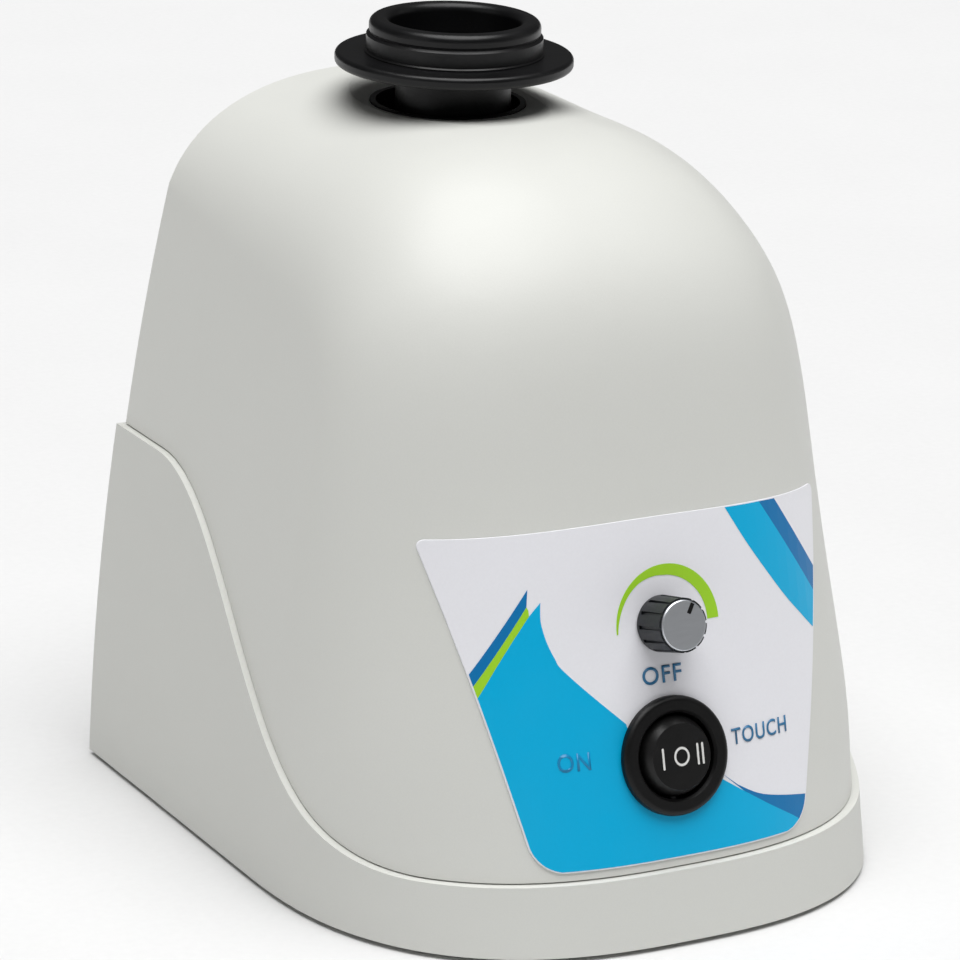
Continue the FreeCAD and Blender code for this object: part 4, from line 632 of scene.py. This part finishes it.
# ---------------------------------------------------------------------------
# Control label
# ---------------------------------------------------------------------------
@dataclass
class LabelArtwork:
    """Printed colours and words of the control label.

    Outlines are given across and above the bench in millimetres, as seen straight from the front.
    """

    panel: Panel
    base: bpy.types.Object
    ink: float = 0.00003
    gap: float = 0.00003
    cell: float = 0.0025
    far_front: float = -0.12
    bezel_height: float = 35.1
    bezel_reach: float = 10.7
    top: float = 77.2
    bottom: float = 16.2
    top_half: float = 44.6
    bottom_half: float = 30.0
    arch: float = 2.3
    corner: float = 7.0
    margin: float = 0.25

    def build(self) -> None:
        """Print every colour field, the dial arc and the words."""
        self.colour_fields()
        self.dial_arc()
        self.words()

    def ring_arc(self, start: float, end: float, steps: int = 14) -> list[Point]:
        """Points round the switch bezel, where a print stops behind it.

        Args:
            start: first angle in degrees, from right, anticlockwise.
            end: last angle in degrees.
            steps: number of stretches.

        Returns:
            Outline points in millimetres.
        """
        points = []
        for step in range(steps + 1):
            angle = math.radians(start + (end - start) * step / steps)
            across = self.bezel_reach * math.cos(angle)
            above = self.bezel_height + self.bezel_reach * math.sin(angle) * math.cos(self.panel.lean)
            points.append((across, above))
        return points

    @staticmethod
    def smooth(points: Sequence[Point], steps: int = 6) -> list[Point]:
        """Run a smooth line through points.

        Args:
            points: points the line passes through.
            steps: stretches between neighbouring points.

        Returns:
            Points along the line, ends included.
        """
        line: list[Point] = []
        ends = [points[0], *points, points[-1]]
        for index in range(1, len(ends) - 2):
            before, here, there, after = (Vector(point) for point in ends[index - 1:index + 3])
            for step in range(steps):
                share = step / steps
                spot = 0.5 * (
                    2.0 * here + (there - before) * share
                    + (2.0 * before - 5.0 * here + 4.0 * there - after) * share ** 2
                    + (3.0 * here - before - 3.0 * there + after) * share ** 3
                )
                line.append((spot.x, spot.y))
        line.append(tuple(points[-1]))
        return line

    def lay_on(self, sheet: bpy.types.Object, gap: float) -> None:
        """Drop a flat sheet onto the label and give it the ink's thickness.

        Args:
            sheet: flat mesh in front of the label.
            gap: distance left between label and sheet, in metres.
        """
        apply_modifier(
            sheet, "SHRINKWRAP", target=self.base, wrap_method="PROJECT", use_project_y=True,
            use_positive_direction=True, use_negative_direction=False, offset=gap,
        )
        still_in_front = self.far_front + self.ink
        missed = sum(1 for vertex in sheet.data.vertices if vertex.co.y < still_in_front)
        if missed:
            raise RuntimeError(f"{missed} points of a print miss the label")
        apply_modifier(sheet, "SOLIDIFY", thickness=self.ink, offset=1.0, use_even_offset=True)

    def field(self, name: str, outline: Sequence[Point], finish: str, layer: int = 0) -> bpy.types.Object:
        """Print one flat colour field.

        Args:
            name: piece name.
            outline: closed outline in millimetres.
            finish: ink from the finish table.
            layer: how many inks lie under it.

        Returns:
            The printed piece.
        """
        clear_selection()
        bpy.ops.mesh.primitive_circle_add(vertices=len(outline), radius=1.0, fill_type="NGON")
        sheet = bpy.context.object
        closed = [*outline, outline[0]]
        area = sum(here[0] * there[1] - there[0] * here[1] for here, there in zip(closed, closed[1:]))
        ordered = list(outline) if area > 0 else list(reversed(outline))
        for vertex, (across, above) in zip(sheet.data.vertices, ordered):
            vertex.co = (across / 1000.0, self.far_front, above / 1000.0)
        self.trim(sheet)
        self.cut_cells(sheet)
        self.lay_on(sheet, self.gap + layer * (self.ink + self.gap))
        return hand_over(sheet, name, finish, "housing")

    def edge_planes(self) -> list[tuple[Point, Point]]:
        """Work out straight cuts that together follow the label's rim.

        Returns:
            Pairs of a point on the rim and the outward direction there, in millimetres.
        """
        planes: list[tuple[Point, Point]] = [((0.0, self.bottom), (0.0, -1.0))]
        run, rise = self.top_half - self.bottom_half, self.top - self.bottom
        slope = math.atan2(run, rise)
        side = (math.cos(slope), -math.sin(slope))
        inset = self.corner * (1.0 - math.sin(slope)) / math.cos(slope)
        centre = (self.bottom_half - inset, self.bottom + self.corner)
        sweep = math.radians(90.0) - slope
        for hand in (-1.0, 1.0):
            planes.append(((hand * self.top_half, self.top), (hand * side[0], side[1])))
            for step in range(1, 10):
                angle = -slope - sweep * step / 10.0
                way = (math.cos(angle), math.sin(angle))
                spot = (hand * (centre[0] + self.corner * way[0]), centre[1] + self.corner * way[1])
                planes.append((spot, (hand * way[0], way[1])))
        radius = (self.top_half ** 2 + self.arch ** 2) / (2.0 * self.arch)
        reach = math.asin(self.top_half / radius)
        for step in range(-5, 6):
            way = (math.sin(reach * step / 5.0), math.cos(reach * step / 5.0))
            planes.append(((radius * way[0], self.top + self.arch - radius + radius * way[1]), way))
        return planes

    def trim(self, sheet: bpy.types.Object) -> None:
        """Cut a print off along the label's rim."""
        only(sheet)
        bpy.ops.object.mode_set(mode="EDIT")
        for spot, way in self.edge_planes():
            inside = [(place - self.margin * lean) / 1000.0 for place, lean in zip(spot, way)]
            bpy.ops.mesh.select_all(action="SELECT")
            bpy.ops.mesh.bisect(
                plane_co=(inside[0], 0.0, inside[1]), plane_no=(way[0], 0.0, way[1]), clear_outer=True
            )
        bpy.ops.object.mode_set(mode="OBJECT")

    def cut_cells(self, sheet: bpy.types.Object) -> None:
        """Cut a sheet into small cells so that it can follow the label's bend."""
        only(sheet)
        bpy.ops.object.mode_set(mode="EDIT")
        spans = [[vertex.co[axis] for vertex in sheet.data.vertices] for axis in (0, 2)]
        for axis, span in zip((Vector((1, 0, 0)), Vector((0, 0, 1))), spans):
            reach = min(span) + self.cell
            while reach < max(span):
                bpy.ops.mesh.select_all(action="SELECT")
                bpy.ops.mesh.bisect(plane_co=axis * reach, plane_no=axis)
                reach += self.cell
        bpy.ops.object.mode_set(mode="OBJECT")

    def colour_fields(self) -> None:
        """Print the swoosh, its stripes and the corner bands."""
        tip = (-24.6, 66.2)
        left_edge = [tip, (-27.0, 63.8), (-30.5, 59.3), (-33.8, 54.7), (-37.1, 49.7), (-44.0, 40.1)]
        right_edge = self.smooth(
            (tip, (-24.9, 63.0), (-24.5, 60.3), (-23.8, 57.9), (-22.8, 55.6), (-21.8, 53.8), (-17.0, 49.0),
             (-9.6, 42.3))
        )
        wedge_top = self.smooth(((14.0, 27.5), (20.0, 24.6), (30.6, 22.2)))
        under_bezel = [(27.2, 19.0), (21.0, 22.6), (15.5, 26.0)]
        self.field(
            "print_swoosh",
            [
                *right_edge, *self.ring_arc(150.0, 330.0), *reversed(under_bezel),
                (34.0, 14.5), (34.0, 10.0), (-44.0, 10.0), *reversed(left_edge[1:]),
            ],
            "ink_cyan",
        )
        wedge = [(10.4, 30.3), *wedge_top, (37.0, 21.2), (37.0, 12.5), *under_bezel]
        self.field("print_wedge", wedge, "ink_deep_blue")
        stripe = [(-26.8, 68.7), (-27.3, 65.5), (-44.0, 43.3), (-44.0, 46.3)]
        self.field("print_stripe_blue", stripe, "ink_deep_blue")
        self.field(
            "print_stripe_lime",
            [(-27.3, 65.5), (-27.0, 64.9), *left_edge[1:], (-44.0, 43.3)],
            "ink_lime",
        )
        low_edge = self.smooth(
            ((15.2, 82.0), (17.1, 79.0), (22.3, 70.8), (29.8, 60.9), (35.0, 55.3), (38.7, 51.6), (46.0, 44.5))
        )
        seam = [(23.55, 82.0), (47.1, 48.0)]
        high_edge = self.smooth(((27.7, 82.0), (29.7, 79.1), (36.8, 68.6), (41.1, 62.4), (49.7, 50.0)))
        self.field("print_corner_cyan", [*low_edge, *reversed(seam)], "ink_cyan")
        self.field("print_corner_blue", [*seam, *reversed(high_edge)], "ink_deep_blue")

    def dial_arc(self) -> None:
        """Print the crescent that swells round the speed knob."""
        centre, radius, steps, start = (1.65, 59.2), 11.45, 40, 182.0
        swell = ((0.0, 0.3), (0.07, 0.6), (0.15, 0.85), (0.32, 1.2), (0.5, 2.05), (0.69, 2.35), (1.0, 2.6))
        inner = []
        for step in range(steps + 1):
            share = 1.0 - step / steps
            (before, thin), (after, thick) = next(
                pair for pair in zip(swell, swell[1:]) if share <= pair[1][0]
            )
            stroke = thin + (thick - thin) * (share - before) / (after - before)
            angle = math.radians(start * (1.0 - share))
            reach = radius - stroke
            inner.append((centre[0] + reach * math.cos(angle), centre[1] + reach * math.sin(angle)))
        outer = self.circle_run(centre, radius, start, 0.0, steps)
        self.field("print_dial_arc", [*outer, *inner], "ink_lime")

    @staticmethod
    def circle_run(centre: Point, radius: float, start: float, end: float, steps: int = 40) -> list[Point]:
        """Return points along a circle between two angles in degrees."""
        points = []
        for step in range(steps + 1):
            angle = math.radians(start + (end - start) * step / steps)
            points.append((centre[0] + radius * math.cos(angle), centre[1] + radius * math.sin(angle)))
        return points

    def words(self) -> None:
        """Print the switch's words."""
        self.word("OFF", (-5.2, 48.8), 3.3, 8.7, "ink_words")
        self.word("TOUCH", (13.5, 35.0), 3.1, 13.9, "ink_words")
        self.word("ON", (-24.4, 34.8), 3.4, 6.6, "ink_words_cyan")

    def word(self, letters: str, corner: Point, tall: float, wide: float, finish: str) -> bpy.types.Object:
        """Print one word.

        Args:
            letters: the word.
            corner: lower left corner in millimetres.
            tall: capital height in millimetres.
            wide: length in millimetres.
            finish: ink from the finish table.

        Returns:
            The printed piece.
        """
        clear_selection()
        bpy.ops.object.text_add()
        text = bpy.context.object
        text.data.body = letters
        text.data.space_character = 1.12
        text.data.offset = 0.012
        text.data.resolution_u = 6
        only(text)
        bpy.ops.object.convert(target="MESH")
        sheet = bpy.context.object
        spans = [[vertex.co[axis] for vertex in sheet.data.vertices] for axis in (0, 1)]
        left, low = (min(span) for span in spans)
        scale = [goal / 1000.0 / (max(span) - min(span)) for goal, span in zip((wide, tall), spans)]
        for vertex in sheet.data.vertices:
            across = corner[0] / 1000.0 + (vertex.co.x - left) * scale[0]
            above = corner[1] / 1000.0 + (vertex.co.y - low) * scale[1]
            vertex.co = (across, self.far_front, above)
        self.lay_on(sheet, 2.0 * self.gap + self.ink)
        return hand_over(sheet, "print_word_" + letters.lower(), finish, "housing")


# ---------------------------------------------------------------------------
# Rocker switch and speed knob
# ---------------------------------------------------------------------------
@dataclass
class RockerMarks:
    """White position marks on the rocker's face."""

    panel: Panel
    switch_height: float = 0.0341
    face: float = 0.0034
    tall: float = 0.0042
    stroke: float = 0.00045
    ring_radius: float = 0.00185
    ink: float = 0.00006

    def build(self) -> None:
        """Print the single bar, the ring and the double bar."""
        for name, across in (("one", -0.00405), ("two_left", 0.00365), ("two_right", 0.00475)):
            self.bar(name, across)
        self.ring(0.00005)

    def place(self, thing: bpy.types.Object) -> bpy.types.Object:
        """Set a flat mark, drawn round its own origin, on the rocker's face."""
        thing.rotation_euler = self.panel.turn
        thing.location = self.panel.spot(self.switch_height, self.face)
        return settle(thing)

    def bar(self, name: str, across: float) -> bpy.types.Object:
        """Print one upright bar with rounded ends.

        Args:
            name: end of the piece's name.
            across: place across the rocker in metres.

        Returns:
            The printed bar.
        """
        clear_selection()
        bpy.ops.mesh.primitive_circle_add(vertices=16, radius=self.stroke / 2.0, fill_type="NGON")
        mark = bpy.context.object
        stretch = (self.tall - self.stroke) / 2.0
        for vertex in mark.data.vertices:
            vertex.co.y += math.copysign(stretch, vertex.co.y)
            vertex.co.x += across
        self.place(mark)
        apply_modifier(mark, "SOLIDIFY", thickness=self.ink, offset=1.0)
        return hand_over(mark, "mark_bar_" + name, "legend_white", "rocker")

    def ring(self, across: float) -> bpy.types.Object:
        """Print the ring, a little taller than it is wide.

        Args:
            across: place across the rocker in metres.

        Returns:
            The printed ring.
        """
        clear_selection()
        bpy.ops.mesh.primitive_circle_add(vertices=48, radius=self.ring_radius, fill_type="NGON")
        mark = bpy.context.object
        bpy.ops.object.mode_set(mode="EDIT")
        bpy.ops.mesh.select_all(action="SELECT")
        bpy.ops.mesh.inset(thickness=self.stroke)
        bpy.ops.mesh.delete(type="FACE")
        bpy.ops.object.mode_set(mode="OBJECT")
        for vertex in mark.data.vertices:
            vertex.co.x = vertex.co.x * 0.92 + across
        self.place(mark)
        apply_modifier(mark, "SOLIDIFY", thickness=self.ink, offset=1.0)
        return hand_over(mark, "mark_ring", "legend_white", "rocker")


@dataclass
class KnobPointer:
    """Black pointer let into the knob's cap."""

    panel: Panel
    knob_height: float = 0.0587
    face: float = 0.0090
    inner: float = 0.00245
    outer: float = 0.0046
    wide: float = 0.00088
    sunk: float = 0.0003
    proud: float = 0.00006
    turned: float = math.radians(-30.0)

    def build(self) -> bpy.types.Object:
        """Make the pointer.

        Returns:
            The inlay piece.
        """
        clear_selection()
        bpy.ops.mesh.primitive_cube_add(size=1.0)
        bar = bpy.context.object
        for vertex in bar.data.vertices:
            vertex.co.x *= self.wide
            vertex.co.y = self.outer if vertex.co.y > 0 else self.inner
            vertex.co.z = self.proud if vertex.co.z > 0 else -self.sunk
        only(bar)
        apply_modifier(bar, "BEVEL", width=0.00012, segments=3, limit_method="ANGLE")
        bar.rotation_euler = (0.0, 0.0, self.turned)
        settle(bar)
        bar.rotation_euler = self.panel.turn
        bar.location = self.panel.spot(self.knob_height, self.face)
        settle(bar)
        return hand_over(bar, "knob_pointer", "switch_nylon", "knob")


# ---------------------------------------------------------------------------
# Stage
# ---------------------------------------------------------------------------
@dataclass
class Studio:
    """Pale floor, soft lights and the camera."""

    eye: tuple[float, float, float] = (-0.47344, -0.80320, 0.36936)
    azimuth: float = -29.99
    drop: float = 17.665
    roll: float = 1.915
    lens: float = 184.55
    floor_reach: float = 6.0
    paper: Colour = (0.73, 0.73, 0.73)

    def build(self) -> None:
        """Set up the floor, the lights, the surroundings and the camera."""
        self.floor()
        self.surroundings()
        self.sky_panel()
        self.light("left_panel", (-1.5, -0.1, 0.55), (0.0, 0.0, 0.07), 1.2, 1.5)
        self.light("right_panel", (1.4, -0.5, 0.6), (0.0, 0.0, 0.07), 1.2, 1.0)
        self.camera()

    def floor(self) -> None:
        """Lay the pale floor."""
        clear_selection()
        bpy.ops.mesh.primitive_grid_add(x_subdivisions=4, y_subdivisions=4, size=self.floor_reach)
        ground = bpy.context.object
        ground.name = "studio_floor"
        material = bpy.data.materials.new("floor_paper")
        material.use_nodes = True
        tree = material.node_tree
        shader = tree.nodes["Principled BSDF"]
        shader.inputs["Specular IOR Level"].default_value = 0.2
        mould = place_group(tree, "moulding")
        mould.inputs["Grain Size"].default_value = 500.0
        toned = scaled_colour(tree, self.paper, mould.outputs["Tone"])
        tree.links.new(toned, shader.inputs["Base Color"])
        tree.links.new(
            map_range(tree, mould.outputs["Gloss"], 0.3, 0.7, 0.75, 0.9), shader.inputs["Roughness"]
        )
        ground.data.materials.append(material)

    @staticmethod
    def surroundings() -> None:
        """Fill the surroundings with even pale light."""
        world = bpy.data.worlds.new("studio_surroundings")
        world.use_nodes = True
        back = world.node_tree.nodes["Background"]
        back.inputs["Color"].default_value = (1.0, 1.0, 1.0, 1.0)
        back.inputs["Strength"].default_value = 0.06
        bpy.context.scene.world = world
        bpy.context.scene.view_settings.view_transform = "Standard"

    @staticmethod
    def sky_panel() -> None:
        """Hang the wide soft light over the set, a little in front."""
        clear_selection()
        bpy.ops.object.light_add(type="SUN", location=(0.3, 0.2, 1.5))
        lamp = bpy.context.object
        lamp.name = "sky_panel"
        lamp.data.angle = math.radians(60.0)
        lamp.data.energy = 3.8
        lamp.rotation_euler = Vector((0.02, 0.12, -1.0)).to_track_quat("-Z", "Y").to_euler()

    @staticmethod
    def light(name: str, place: tuple, aim: tuple, size: float, power: float) -> None:
        """Hang a square soft light.

        Args:
            name: light name.
            place: where it hangs.
            aim: point that it faces.
            size: edge in metres.
            power: watts.
        """
        clear_selection()
        bpy.ops.object.light_add(type="AREA", location=place)
        lamp = bpy.context.object
        lamp.name = name
        lamp.data.shape = "SQUARE"
        lamp.data.size = size
        lamp.data.energy = power
        lamp.rotation_euler = (Vector(aim) - Vector(place)).to_track_quat("-Z", "Y").to_euler()

    def camera(self) -> None:
        """Place the camera."""
        clear_selection()
        bpy.ops.object.camera_add(location=self.eye)
        viewer = bpy.context.object
        viewer.name = "studio_camera"
        viewer.data.lens = self.lens
        viewer.data.sensor_width = 36.0
        viewer.data.clip_start = 0.05
        viewer.data.clip_end = 50.0
        turn = (
            Matrix.Rotation(math.radians(self.azimuth), 3, "Z")
            @ Matrix.Rotation(math.radians(90.0 - self.drop), 3, "X")
            @ Matrix.Rotation(math.radians(self.roll), 3, "Z")
        )
        viewer.rotation_euler = turn.to_euler()
        bpy.context.scene.camera = viewer


def main() -> None:
    """Dress the mixer, add its printed and inlaid pieces and set the stage."""
    logging.basicConfig(level=logging.INFO, format="%(name)s: %(message)s")
    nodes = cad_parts
    panel = Panel()
    dress_nodes(nodes)
    shorten_springs(nodes)
    LabelArtwork(panel, nodes["control_label"]).build()
    RockerMarks(panel).build()
    KnobPointer(panel).build()
    Studio().build()


if __name__ == "__main__":
    main()
